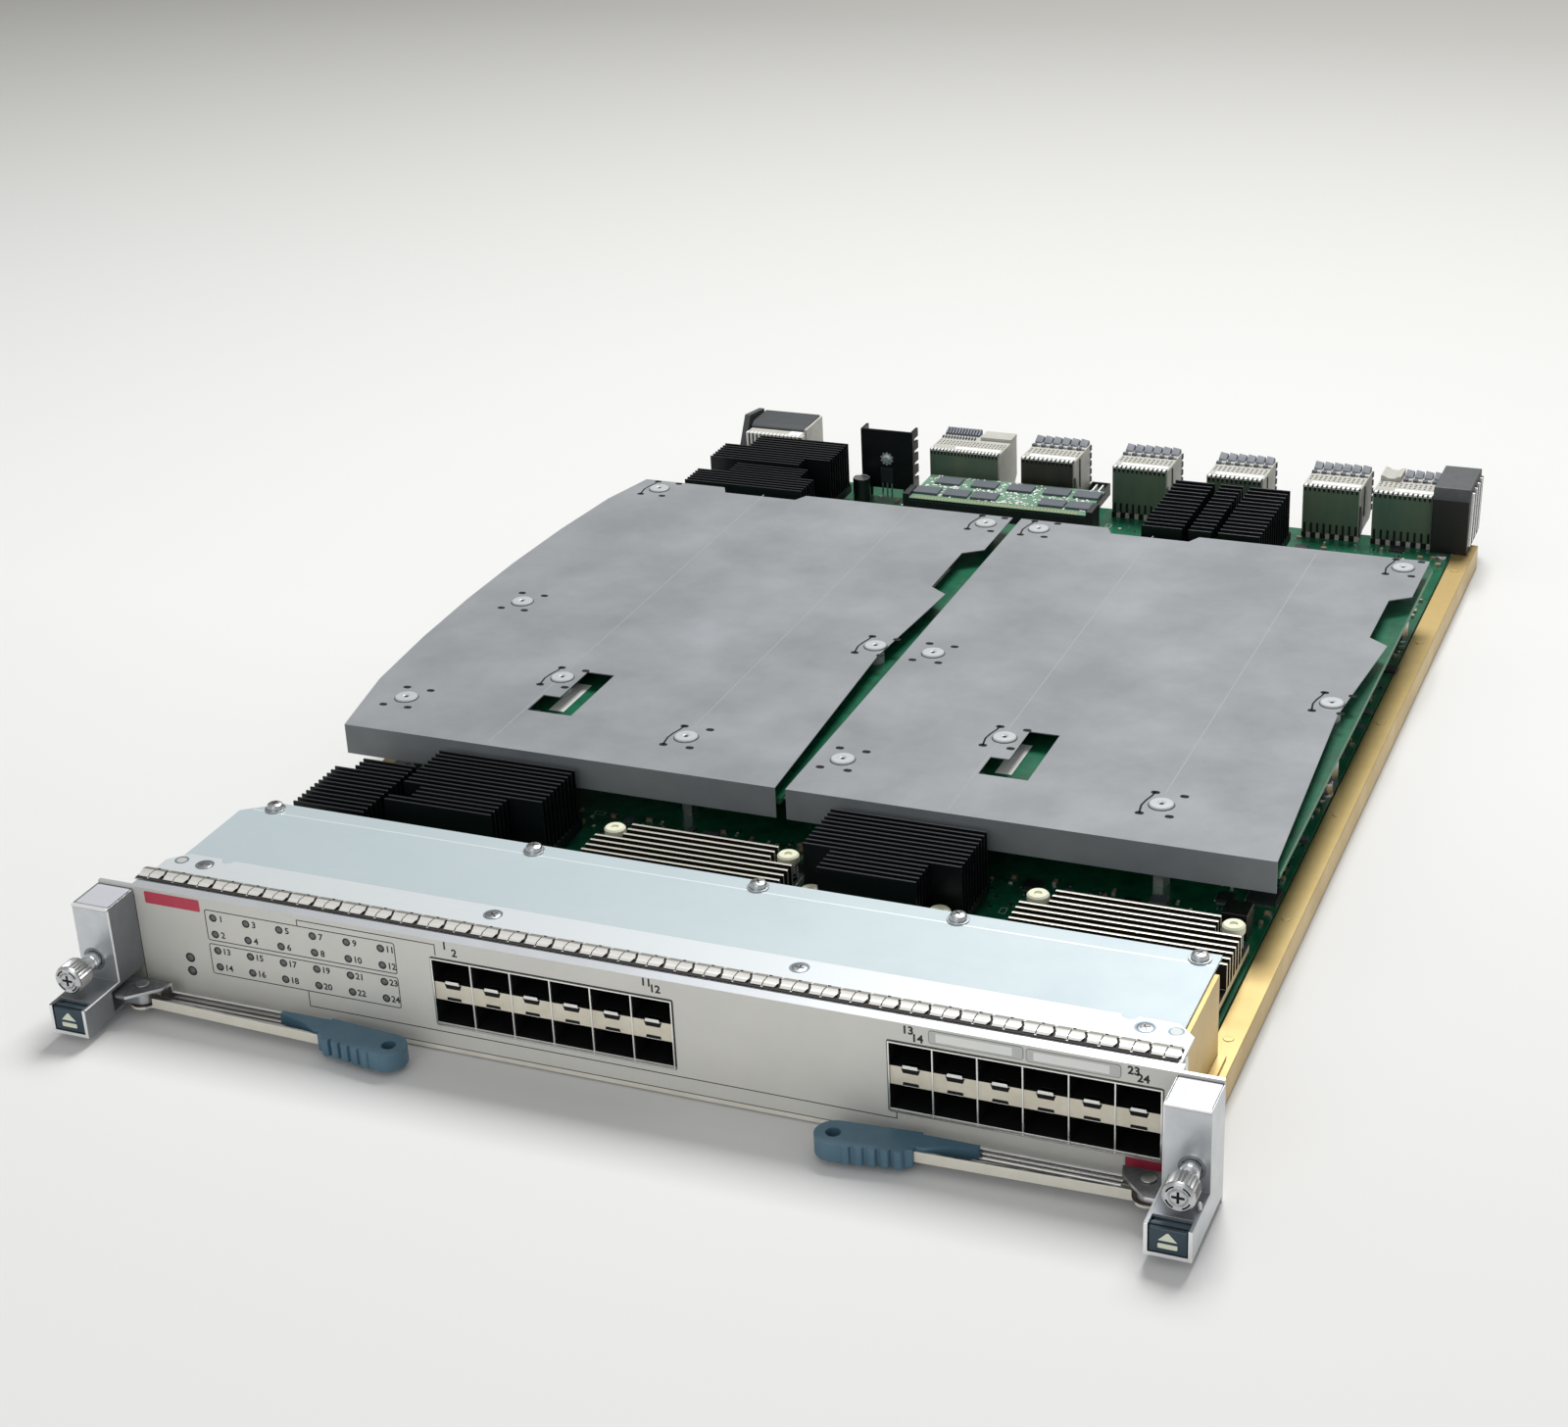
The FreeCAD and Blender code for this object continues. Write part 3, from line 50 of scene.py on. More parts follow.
slotOf = {part["node"]: part["material_slot"] for part in frame["record"]["subparts"]}
bodyOf = {node: body for body, nodes in frame["record"]["behaviour"]["bodies"].items() for node in nodes}
print("stage: frame loaded,", len(bodyOf), "nodes")


def linear(hexColour):
    channels = [int(hexColour[i:i + 2], 16) / 255 for i in (1, 3, 5)]
    return [c / 12.92 if c <= 0.04045 else ((c + 0.055) / 1.055) ** 2.4 for c in channels] + [1.0]


def addNode(tree, kind, settings=None, links=None):
    # settings: a property, or a socket by name or number; links: socket: (node, its output)
    node = tree.nodes.new(kind)
    for name, value in (settings or {}).items():
        if isinstance(name, str) and hasattr(node, name):
            setattr(node, name, value)
        else:
            node.inputs[name].default_value = value
    for name, (source, output) in (links or {}).items():
        tree.links.new(source.outputs[output], node.inputs[name])
    return node


def finish(name, colour, roughness, metallic=0.0, mottle=None, bump=None, ior=1.5, stretch=(1, 1, 1),
           coat=0.0):
    # mottle: second colour, size in mm, share; bump: size and depth in mm
    material = bpy.data.materials.new(name)
    material.use_nodes = True
    tree = material.node_tree
    shader = tree.nodes["Principled BSDF"]
    for socket, value in (("Base Color", linear(colour)), ("Roughness", roughness), ("Metallic", metallic),
                          ("Coat Weight", coat), ("IOR", ior)):
        shader.inputs[socket].default_value = value
    coordinates = addNode(tree, "ShaderNodeTexCoord")
    mapping = addNode(tree, "ShaderNodeMapping", {"Scale": stretch}, {"Vector": (coordinates, "Object")})
    if mottle:
        second, grain, share = mottle
        cloudy = {"Scale": 1 / (grain * mm), "Detail": 5.0, "Roughness": 0.6}
        clouds = addNode(tree, "ShaderNodeTexNoise", cloudy, {"Vector": (mapping, "Vector")})
        spread = addNode(tree, "ShaderNodeMapRange", {"From Min": 0.35, "From Max": 0.7, "To Max": share},
                         {"Value": (clouds, "Fac")})
        blend = addNode(tree, "ShaderNodeMix", {"data_type": "RGBA", 6: linear(colour), 7: linear(second)},
                        {0: (spread, "Result")})
        tree.links.new(blend.outputs[2], shader.inputs["Base Color"])
        ends = {"To Min": roughness * 0.85, "To Max": min(1, roughness * 1.25)}
        gloss = addNode(tree, "ShaderNodeMapRange", ends, {"Value": (clouds, "Fac")})
        tree.links.new(gloss.outputs["Result"], shader.inputs["Roughness"])
    if bump:
        grain, depth = bump
        relief = addNode(tree, "ShaderNodeTexNoise", {"Scale": 1 / (grain * mm), "Detail": 3.0},
                         {"Vector": (mapping, "Vector")})
        normal = addNode(tree, "ShaderNodeBump", {"Strength": 0.5, "Distance": depth * mm},
                         {"Height": (relief, "Fac")})
        tree.links.new(normal.outputs["Normal"], shader.inputs["Normal"])
    return material


# grain finer than about half a millimetre is drawn coarser than it is, so that it shows
finishes = {
    # painted steel of the faceplate: satin, with faint orange peel and a little colour drift
    "powderCoat": finish("silver powder coat", "#dbdad4", 0.42, 0.15, ("#d1d0ca", 30, 0.6), (0.8, 0.02)),
    "creamEdge": finish("cream edge and painted lit face", "#efece0", 0.35, 0.2, ("#ded8c6", 12, 0.7)),
    # bright plate on springs, folds and tin: clear reflections with light clouds
    "nickel": finish("bright nickel plate", "#e2e3e4", 0.24, 1.0, ("#c6c7c8", 14, 0.6), stretch=(1, 0.3, 1)),
    "whiteZinc": finish("bright zinc plate", "#dfe3e8", 0.34, 0.7, ("#d2d6dc", 16, 0.6)),
    "fingerPlate": finish("tinned beryllium copper", "#faf9f5", 0.3, 0.6, ("#efece4", 5, 0.5)),
    # painted shade on the gasket finger roots
    "fingerShade": finish("shaded beryllium copper", "#cdccc8", 0.34, 1.0, ("#a09c8c", 5, 0.6)),
    "brightTin": finish("bright tin plate", "#f1f1ee", 0.24, 0.85, ("#dededb", 5, 0.5)),
    "steel": finish("zinc plated steel", "#cfd1d2", 0.3, 1.0, ("#a9abad", 4, 0.6)),
    "beigeContact": finish("tinned spring brass", "#e6e0cf", 0.34, 0.55, ("#cdc6b0", 6, 0.6)),
    "tinLead": finish("tinned lead", "#d3d5d4", 0.28, 1.0, ("#b8bab9", 1.5, 0.6)),
    "foil": finish("aluminium can top", "#c9c6ca", 0.25, 0.9, ("#aeb0b2", 2, 0.6)),
    "chrome": finish("polished chrome", "#e6e7e8", 0.12, 1.0),
    "knurlSteel": finish("knurled zinc plated steel", "#bfc0bf", 0.35, 0.9),
    # the same metals where little light reaches them
    "shadedTin": finish("shaded tin plate", "#2a2b2c", 0.5, 0.6, ("#1c1d1e", 5, 0.6)),
    "channelShade": finish("shaded channel floor", "#6a6056", 0.4, 0.8),
    "lugShade": finish("shaded rubbed steel", "#8b8c90", 0.4, 0.8, ("#6e6f74", 1.5, 0.8)),
    "slateShade": finish("shaded blue-grey steel", "#7f8e9a", 0.4, 0.6),
    "trayShade": finish("shaded tray floor", "#8d8062", 0.4, 0.7),
    # yellow passivated sheet: pale gold with cloudy patches
    "goldSheet": finish("gold passivated sheet", "#cfb67e", 0.38, 0.65, ("#b89e66", 22, 0.8), (1.2, 0.01)),
    # plated cover: pale blue-grey and nearly matte, with a painted highlight along the bend and painted
    # shade on faces that do not face up
    "zincCover": finish("blue zinc plate", "#bac6ca", 0.45, 0.25, ("#aebbc0", 40, 0.8), (1.5, 0.01)),
    "stripZinc": finish("milky zinc plate", "#d9dee0", 0.4, 0.35, ("#cbd1d4", 30, 0.7), (1.5, 0.01)),
    "coverSideShade": finish("painted shade on the cover's sides", "#8f9aa0", 0.45, 0.5),
    "coverLine": finish("bend highlight", "#d6e0e3", 0.4, 0.3),
    # die-cast ends: fine satin grain, painted highlights along the edges, painted shade on the inner walls
    "casting": finish("satin zinc casting", "#d0d3d6", 0.3, 0.8, ("#bcc0c4", 8, 0.5), (0.5, 0.015)),
    "highlightWhite": finish("bright edge with painted highlight", "#f1f2f2", 0.25, 0.4),
    "noseGrey": finish("shaded casting", "#8e9196", 0.4, 0.6),
    "shadedCasting": finish("shaded casting wall", "#8f9296", 0.4, 0.6, ("#7c7f84", 8, 0.6)),
    "paleLavender": finish("pale printed plate", "#c9cbd1", 0.4, 0.2, ("#bec1c8", 3, 0.5)),
    # fins: black anodised with a slight shine, or bare milled metal; painted highlight on the black fin
    # tops, painted shade between the fins
    "blackAnodised": finish("black anodised aluminium", "#16171a", 0.36, 0.45, ("#22242a", 10, 0.7),
                            stretch=(0.2, 1, 1)),
    "bareAluminium": finish("milled aluminium", "#f0ede2", 0.32, 0.7, ("#dcd7c6", 6, 0.7)),
    "finTopHighlight": finish("painted highlight on anodised fin tops", "#3d3f43", 0.3, 0.6),
    "finPit": finish("unlit fin floor", "#0c0c0d", 0.7, 0.3),
    "finShade": finish("shaded fin wall", "#2e2b24", 0.5, 0.6),
    # circuit boards: glossy green under a thin lacquer, dull at the cut edge
    "solderMask": finish("green solder mask", "#15694a", 0.3, 0.0, ("#0b4731", 6, 0.9), (1.6, 0.03),
                         coat=0.3),
    "paleMask": finish("pale green solder mask", "#6c9079", 0.4, 0.0, ("#5a8068", 5, 0.8)),
    "darkBoard": finish("shaded solder mask", "#082619", 0.5),
    "boardEdge": finish("cut board edge", "#3f7a58", 0.5),
    # insulating film: grey, waxy and slightly uneven
    "greySheet": finish("grey insulating film", "#85888b", 0.38, 0.0, ("#989b9f", 45, 0.9), (14, 0.5), 1.45),
    "lipSheet": finish("shaded insulating film", "#82878b", 0.45, 0.0, ("#6f7478", 30, 0.8)),
    "creaseSheet": finish("crease in the film", "#9b9ea1", 0.4),
    # nylon: even colour and a soft, wide highlight
    "blackNylon": finish("black nylon", "#121316", 0.5, 0.0, ("#1f2125", 4, 0.6), (0.4, 0.02), 1.53),
    "slateNylon": finish("slate nylon", "#517386", 0.4, 0.0, ("#476779", 9, 0.7), (0.6, 0.03), 1.53),
    "buttonNylon": finish("dark slate nylon", "#263c49", 0.38, 0.0, ("#203440", 5, 0.6), None, 1.53),
    "buttonTop": finish("lit slate nylon", "#3f5461", 0.35),
    "creamNylon": finish("cream nylon", "#e4e5cb", 0.45, 0.0, ("#d8d9bb", 3, 0.6), None, 1.53),
    "whiteNylon": finish("white nylon", "#e8e9e6", 0.5, 0.0, ("#dcddd8", 4, 0.5), None, 1.53),
    "studNylon": finish("pale grey nylon", "#b9bcbe", 0.4, 0.1),
    # glass-filled mouldings of the connectors: duller, with a mottled skin
    "greyMoulding": finish("warm grey glass-filled moulding", "#b9b8b0", 0.5, 0.0, ("#a5a49c", 6, 0.7),
                           (0.5, 0.02)),
    "darkMoulding": finish("dark grey glass-filled moulding", "#3f4346", 0.5, 0.0, ("#34373a", 6, 0.7),
                           (0.5, 0.02)),
    "capMoulding": finish("blue-grey glass-filled moulding", "#545b66", 0.5, 0.0, ("#464c57", 4, 0.6)),
    "guideBlack": finish("black guide moulding", "#0c0d0e", 0.5, 0.0, ("#151617", 5, 0.6)),
    "guideTop": finish("lit guide moulding", "#4c4f51", 0.5, 0.0, ("#404345", 5, 0.7)),
    # contact wafers: streaks that run up and down
    "waferGreen": finish("dark green contact wafer", "#4a6254", 0.4, 0.0, ("#66705a", 12, 0.9), None, 1.5,
                         (1, 1, 0.2)),
    "waferDark": finish("black contact wafer", "#26251f", 0.4, 0.0, ("#38352c", 6, 0.7), None, 1.5,
                        (1, 1, 0.2)),
    # chips and small parts: moulded epoxy, ceramic and a shiny printed sleeve
    "chipBlack": finish("epoxy chip body", "#24272b", 0.42, 0.0, ("#1c1f22", 3, 0.6), (0.3, 0.01)),
    "chipGrey": finish("grey epoxy chip body", "#565b62", 0.4, 0.0, ("#4b5057", 4, 0.6)),
    "slateChip": finish("slate chip body", "#5b6068", 0.45, 0.0, ("#50555d", 3, 0.5)),
    "ceramic": finish("tan ceramic", "#b59a78", 0.45, 0.0, ("#a1866a", 1.5, 0.6)),
    "sleeve": finish("black printed sleeve", "#1b1a1c", 0.3, 0.0, coat=0.4),
    "smokedLens": finish("smoked acrylic", "#696b6b", 0.25, 0.0, ior=1.49),
    # print and labels: flat colour, ink duller than the label stock; the black ink also draws painted
    # shadows
    "ink": finish("black printing ink and painted shadow", "#232425", 0.7),
    "greyInk": finish("grey printing ink", "#8b8c89", 0.7),
    "creamPaint": finish("cream sign paint", "#dfe3cf", 0.6),
    "redLabel": finish("red label stock", "#c5455a", 0.5, 0.0, ("#b53b50", 8, 0.5)),
    "darkRedLabel": finish("dark red label stock", "#b02c48", 0.45, 0.0, ("#9b2740", 6, 0.6)),
    "paleLabel": finish("silver label stock", "#c6c7c4", 0.35, 0.2, ("#bcbdba", 12, 0.5)),
    "whiteLabel": finish("white label stock", "#eeefec", 0.5),
    "gasketBrown": finish("dark brown under the gasket", "#1d1815", 0.7),
    # slots, seams and gaps in painted shade: matte and almost black, so that they read as depth
    "pit": finish("unlit slot", "#060606", 0.9),
    "pitNylon": finish("unlit black nylon", "#0a0a0b", 0.6),
    "shade": finish("painted shade in a seam", "#5a5f66", 0.7),
    "notchGrey": finish("shaded notch", "#5d5c58", 0.7),
}
finishOfSlot = {
    "front_panel": "powderCoat", "bright_metal": "nickel", "gold_metal": "goldSheet",
    "cover_metal": "zincCover", "housing": "casting", "steel": "steel", "board": "solderMask",
    "sheet": "greySheet", "black_heatsink": "blackAnodised", "bare_heatsink": "bareAluminium",
    "dark_plastic": "blackNylon", "blue_plastic": "slateNylon", "cream_plastic": "creamNylon",
    "connector_plastic": "greyMoulding", "beige_metal": "beigeContact", "light_pipe": "smokedLens",
}
for node, part in frame["nodes"].items():
    part.data.materials.clear()
    part.data.materials.append(finishes[finishOfSlot[slotOf[node]]])
print("stage: finishes on all nodes")


# drawing functions: each adds to a shape in millimetres
def block(shape, x, y, z):
    corners = [shape.verts.new((a, b, c)) for a in x for b in y for c in z]
    for ring in ((0, 1, 3, 2), (4, 6, 7, 5), (0, 4, 5, 1), (2, 3, 7, 6), (0, 2, 6, 4), (1, 5, 7, 3)):
        shape.faces.new([corners[i] for i in ring])


def ordered(order, values, centre=(0, 0, 0)):
    # values along the axes in the given order, as x, y, z from a centre
    given = dict(zip(order, values))
    return [given[axis] + centre[axis] for axis in range(3)]


def plate(shape, outline, low, high, plane="xy"):
    # a closed prism over an outline; low and high are on the third axis
    order = {"xy": (0, 1, 2), "yz": (1, 2, 0), "xz": (0, 2, 1)}[plane]
    bottom, top = [[shape.verts.new(ordered(order, (u, v, level))) for u, v in outline]
                   for level in (low, high)]
    shape.faces.new(bottom)
    shape.faces.new(top)
    for i in range(len(outline)):
        k = (i + 1) % len(outline)
        shape.faces.new([bottom[i], bottom[k], top[k], top[i]])


def bridge(shape, rings, closed=False, capped=True):
    # walls from each ring of corners to the next; a ring of one corner is a point
    for near, far in list(zip(rings, rings[1:])) + ([(rings[-1], rings[0])] if closed else []):
        count = max(len(near), len(far))
        for i in range(count):
            k = (i + 1) % count
            if len(near) == 1:
                shape.faces.new([near[0], far[i], far[k]])
            elif len(far) == 1:
                shape.faces.new([near[i], far[0], near[k]])
            else:
                shape.faces.new([near[i], far[i], far[k], near[k]])
    if capped and not closed:
        shape.faces.new(rings[0])
        shape.faces.new(rings[-1])


turnOrder = {"y": (2, 0, 1), "z": (0, 1, 2)}


def lathe(shape, profile, sides=28, axis="z", centre=(0, 0, 0)):
    # profile: (radius, distance along the axis); it starts and ends on the axis, or closes on itself
    rings = []
    for radius, along in profile:
        ring = []
        for i in range(sides if radius else 1):
            angle = 2 * math.pi * i / sides
            values = (radius * math.cos(angle), radius * math.sin(angle), along)
            ring.append(shape.verts.new(ordered(turnOrder[axis], values, centre)))
        rings.append(ring)
    bridge(shape, rings, closed=not (profile[0][0] == 0 and profile[-1][0] == 0), capped=False)


def coil(shape, centre, axis, radius, wire, length, turns, sides=6):
    steps = int(turns * 16)
    rings = []
    for i in range(steps + 1):
        angle = 2 * math.pi * turns * i / steps
        ring = []
        for k in range(sides):
            bend = 2 * math.pi * k / sides
            out = radius + wire * math.cos(bend)
            along = length * i / steps + wire * math.sin(bend)
            values = (out * math.cos(angle), out * math.sin(angle), along)
            ring.append(shape.verts.new(ordered(turnOrder[axis], values, centre)))
        rings.append(ring)
    bridge(shape, rings)


def ribbon(shape, points, wide, near, far, closed=False):
    # a flat line through points on the faceplate, between two levels of y
    spots = [Vector(point) for point in points]
    count = len(spots)
    rings = []
    for i, spot in enumerate(spots):
        back = spots[i - 1] if i or closed else spot
        ahead = spots[(i + 1) % count] if i + 1 < count or closed else spot
        first = (spot - back).normalized() if spot != back else (ahead - spot).normalized()
        second = (ahead - spot).normalized() if ahead != spot else first
        across = (first + second).normalized().orthogonal()
        reach = wide / 2 / max(0.4, across.dot(first.orthogonal()))
        rings.append([shape.verts.new((spot.x + across.x * reach * side, y,
                                       spot.y + across.y * reach * side))
                      for side, y in ((-1, near), (1, near), (1, far), (-1, far))])
    bridge(shape, rings, closed)


def wire(shape, points, radius, sides=8):
    # a round bar through points
    spots = [Vector(point) for point in points]
    angles = [2 * math.pi * k / sides for k in range(sides)]
    rings = []
    for i, spot in enumerate(spots):
        way = (spots[min(len(spots) - 1, i + 1)] - spots[max(0, i - 1)]).normalized()
        side = way.cross(Vector((0.31, 0.17, 0.93))).normalized()
        up = way.cross(side)
        rings.append([shape.verts.new(spot + (side * math.cos(a) + up * math.sin(a)) * radius)
                      for a in angles])
    bridge(shape, rings)


def rounded(x, y, radius, steps=4):
    # outline of a box with round corners
    outline = []
    for cornerX, cornerY, start in ((x[1], y[1], 0), (x[0], y[1], 90), (x[0], y[0], 180), (x[1], y[0], 270)):
        middleX = cornerX - math.copysign(radius, cornerX - sum(x) / 2)
        middleY = cornerY - math.copysign(radius, cornerY - sum(y) / 2)
        for i in range(steps + 1):
            angle = math.radians(start + 90 * i / steps)
            outline.append((middleX + radius * math.cos(angle), middleY + radius * math.sin(angle)))
    return outline


def star(count, outer, inner, x=0.0, z=0.0):
    # outline whose corners lie on two circles by turns
    outline = []
    for i in range(count):
        angle = 2 * math.pi * i / count
        radius = inner if i % 2 else outer
        outline.append((radius * math.cos(angle) + x, radius * math.sin(angle) + z))
    return outline


def draw(parts):
    # parts: rows of a drawing function and what it takes
    shape = bmesh.new()
    for build, *given in parts:
        build(shape, *given)
    return shape


def cadShape(node):
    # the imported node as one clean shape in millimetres, for a bevelled copy
    shape = bmesh.new()
    shape.from_mesh(frame["nodes"][node].data)
    bmesh.ops.scale(shape, vec=(1 / mm,) * 3, verts=shape.verts)
    bmesh.ops.remove_doubles(shape, verts=shape.verts, dist=0.003)
    bmesh.ops.dissolve_limit(shape, angle_limit=math.radians(1), verts=shape.verts, edges=shape.edges)
    return shape


def settled(piece):
    # the evaluated mesh takes the place of the modifiers
    graph = bpy.context.evaluated_depsgraph_get()
    mesh = bpy.data.meshes.new_from_object(piece.evaluated_get(graph))
    piece.modifiers.clear()
    piece.data = mesh


def placed(name, data):
    piece = bpy.data.objects.new(name, data)
    bpy.context.collection.objects.link(piece)
    return piece


def carve(parts, tools):
    # exact difference of two shapes
    pair = []
    for shape in (draw(parts), draw(tools)):
        bmesh.ops.recalc_face_normals(shape, faces=shape.faces)
        mesh = bpy.data.meshes.new("carving")
        shape.to_mesh(mesh)
        shape.free()
        pair.append(placed("carving", mesh))
    base, cutter = pair
    change = base.modifiers.new("carve", "BOOLEAN")
    change.operation = "DIFFERENCE"
    change.solver = "EXACT"
    change.object = cutter
    settled(base)
    result = bmesh.new()
    result.from_mesh(base.data)
    for item in pair:
        bpy.data.objects.remove(item)
    return result


def registered(piece, body, stands):
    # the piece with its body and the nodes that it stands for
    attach(piece, body)
    if stands:
        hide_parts(*stands)
    return piece


def emit(name, parts, material, bevel=None, body="card", stands=(), smooth=35):
    # parts: rows to draw, or a shape; bevel: width in mm and steps; smooth: sharpest soft angle
    shape = draw(parts) if isinstance(parts, list) else parts
    bmesh.ops.recalc_face_normals(shape, faces=shape.faces)
    bmesh.ops.scale(shape, vec=(mm,) * 3, verts=shape.verts)
    mesh = bpy.data.meshes.new(name)
    shape.to_mesh(mesh)
    shape.free()
    piece = placed(name, mesh)
    mesh.shade_smooth()
    if bevel:
        edge = piece.modifiers.new("edge", "BEVEL")
        edge.width = bevel[0] * mm
        edge.segments = bevel[1]
        edge.limit_method = "ANGLE"
        edge.angle_limit = math.radians(smooth)
        shade = piece.modifiers.new("shade", "WEIGHTED_NORMAL")
        shade.weight = 100
        settled(piece)
    else:
        mesh.set_sharp_from_angle(angle=math.radians(smooth))
    piece.data.materials.clear()
    piece.data.materials.append(finishes[material])
    return registered(piece, body, stands)


def bothSides(name, parts, material, bevel=None, body="", stands="", smooth=35):
    # the right-hand shape and its mirror image; body and stands are endings after the side's name
    for side in ("right", "left"):
        shape = draw(parts)
        if side == "left":
            bmesh.ops.scale(shape, vec=(-1, 1, 1), verts=shape.verts)
        emit(side + "-" + name, shape, material, bevel, side + body if body else "card",
             [side + stands] if stands else [], smooth)


def dress(node, bevel=(0.2, 2), material=None, *paints):
    # a bevelled copy that stands for its CAD node; a paint is a finish and the test of its faces,
    # which is given a face's centre in mm and its outward direction
    slot = slotOf[node]
    piece = emit(node + "-dressed", cadShape(node), material or finishOfSlot[slot], bevel,
                 bodyOf[node], [node])
    for second, test in paints:
        piece.data.materials.append(finishes[second])
        for face in piece.data.polygons:
            if test(face.center / mm, face.normal):
                face.material_index = len(piece.data.materials) - 1


def buildRepeatTree():
    tree = bpy.data.node_groups.new("repeat", "GeometryNodeTree")
    for name, way, kind in (
        ("Places", "INPUT", "Geometry"), ("Stamp", "INPUT", "Object"), ("Size Spread", "INPUT", "Float"),
        ("Seed", "INPUT", "Int"), ("Finish", "INPUT", "Material"), ("Result", "OUTPUT", "Geometry"),
    ):
        tree.interface.new_socket(name, in_out=way, socket_type="NodeSocket" + kind)
    given = addNode(tree, "NodeGroupInput")
    stamp = addNode(tree, "GeometryNodeObjectInfo", {}, {"Object": (given, "Stamp")})
    turn = addNode(tree, "GeometryNodeInputNamedAttribute", {"data_type": "FLOAT", "Name": "turn"})
    scale = addNode(tree, "GeometryNodeInputNamedAttribute", {"data_type": "FLOAT_VECTOR", "Name": "size"})
    angle = addNode(tree, "ShaderNodeCombineXYZ", {}, {"Z": (turn, "Attribute")})
    least = addNode(tree, "ShaderNodeMath", {"operation": "SUBTRACT", 0: 1.0}, {1: (given, "Size Spread")})
    most = addNode(tree, "ShaderNodeMath", {"operation": "ADD", 0: 1.0}, {1: (given, "Size Spread")})
    growth = addNode(tree, "FunctionNodeRandomValue", {"data_type": "FLOAT"},
                     {"Seed": (given, "Seed"), 2: (least, 0), 3: (most, 0)})
    sized = addNode(tree, "ShaderNodeVectorMath", {"operation": "SCALE"},
                    {0: (scale, "Attribute"), "Scale": (growth, 1)})
    copies = addNode(tree, "GeometryNodeInstanceOnPoints", {}, {
        "Points": (given, "Places"), "Instance": (stamp, "Geometry"), "Rotation": (angle, "Vector"),
        "Scale": (sized, "Vector"),
    })
    real = addNode(tree, "GeometryNodeRealizeInstances", {}, {"Geometry": (copies, "Instances")})
    painted = addNode(tree, "GeometryNodeSetMaterial", {},
                      {"Geometry": (real, "Geometry"), "Material": (given, "Finish")})
    addNode(tree, "NodeGroupOutput", {}, {"Result": (painted, "Geometry")})
    return tree


repeatTree = buildRepeatTree()
repeatSeed = 1


def repeat(name, parts, places, material, bevel=None, stands=(), sizeSpread=0.0, smooth=35):
    # places: (x, y, z) or (x, y, z, turn in degrees, (scale x, y, z)), in millimetres
    stamp = emit(name + "-stamp", parts, material, bevel, smooth=smooth)
    stamp.parent = None
    points = bpy.data.meshes.new(name)
    points.from_pydata([[c * mm for c in place[:3]] for place in places], [], [])
    turns = points.attributes.new("turn", "FLOAT", "POINT")
    sizes = points.attributes.new("size", "FLOAT_VECTOR", "POINT")
    for i, place in enumerate(places):
        turns.data[i].value = math.radians(place[3]) if len(place) > 3 else 0.0
        sizes.data[i].vector = place[4] if len(place) > 4 else (1, 1, 1)
    piece = placed(name, points)
    change = piece.modifiers.new("repeat", "NODES")
    change.node_group = repeatTree
    sockets = {item.name: item.identifier for item in repeatTree.interface.items_tree}
    for socket, value in (("Stamp", stamp), ("Size Spread", sizeSpread), ("Seed", repeatSeed),
                          ("Finish", finishes[material])):
        change[sockets[socket]] = value
    settled(piece)
    bpy.data.objects.remove(stamp)
    return registered(piece, "card", stands)


print("stage: tools")


panel = {
    "front": -1.5, "proud": 0.03, "print": 0.32, "corner": 0.8, "footLow": 0.2, "footHigh": 1.7,
    "seamHigh": 2.05, "boxSides": (-152.5, -80.0), "boxes": ((26.3, 37.8), (13.3, 24.8)),
    "halfLength": 193.8,
    "leaders": (((-116.4, 37.8), (-116.4, 40.1), (-64.8, 40.1), (-64.8, 36.0)),
                ((-115.4, 13.3), (-115.4, 7.4), (93.0, 7.4), (93.0, 10.2))),
}
lights = {
    "first": -149.5, "pitch": 12.85, "rows": (35.0, 28.7, 22.4, 16.1), "count": 6, "ring": 1.45,
    "lens": 1.05, "single": ((-161.1, 17.7), (-161.1, 12.5)), "singleSize": 1.25, "digits": 2.3,
    "digitsAside": 3.1,
}
portDigits = {
    "size": 2.7,
    "places": (("1", -61.1, 40.2), ("2", -57.7, 38.0), ("11", 10.5, 40.1), ("12", 13.4, 38.2),
               ("13", 97.3, 39.7), ("14", 100.3, 37.3), ("23", 167.4, 39.7), ("24", 170.3, 37.5)),
}


def facePrint(shape, points, closed=False):
    ribbon(shape, points, panel["print"], panel["front"] + 0.02, panel["front"] - panel["proud"], closed)


lettersPerHeight = 1.42  # font size for each mm of a digit's height
inkHalf = 0.015  # half the thickness of the ink


def lettering(shape, words, size, weight):
    # plain digits, centred on each place
    for text, x, z in words:
        curve = bpy.data.curves.new("digits", "FONT")
        curve.body = text
        curve.size = size * lettersPerHeight
        curve.offset = weight
        curve.extrude = inkHalf
        curve.resolution_u = 3
        curve.align_x = "CENTER"
        curve.align_y = "CENTER"
        item = placed("digits", curve)
        graph = bpy.context.evaluated_depsgraph_get()
        mesh = bpy.data.meshes.new_from_object(item.evaluated_get(graph))
        part = bmesh.new()
        part.from_mesh(mesh)
        bmesh.ops.remove_doubles(part, verts=part.verts, dist=0.0005)
        for corner in part.verts:
            across, up, out = corner.co
            corner.co = (x + across, panel["front"] - inkHalf - out, z + up)
        part.to_mesh(mesh)
        part.free()
        shape.from_mesh(mesh)
        bpy.data.objects.remove(item)


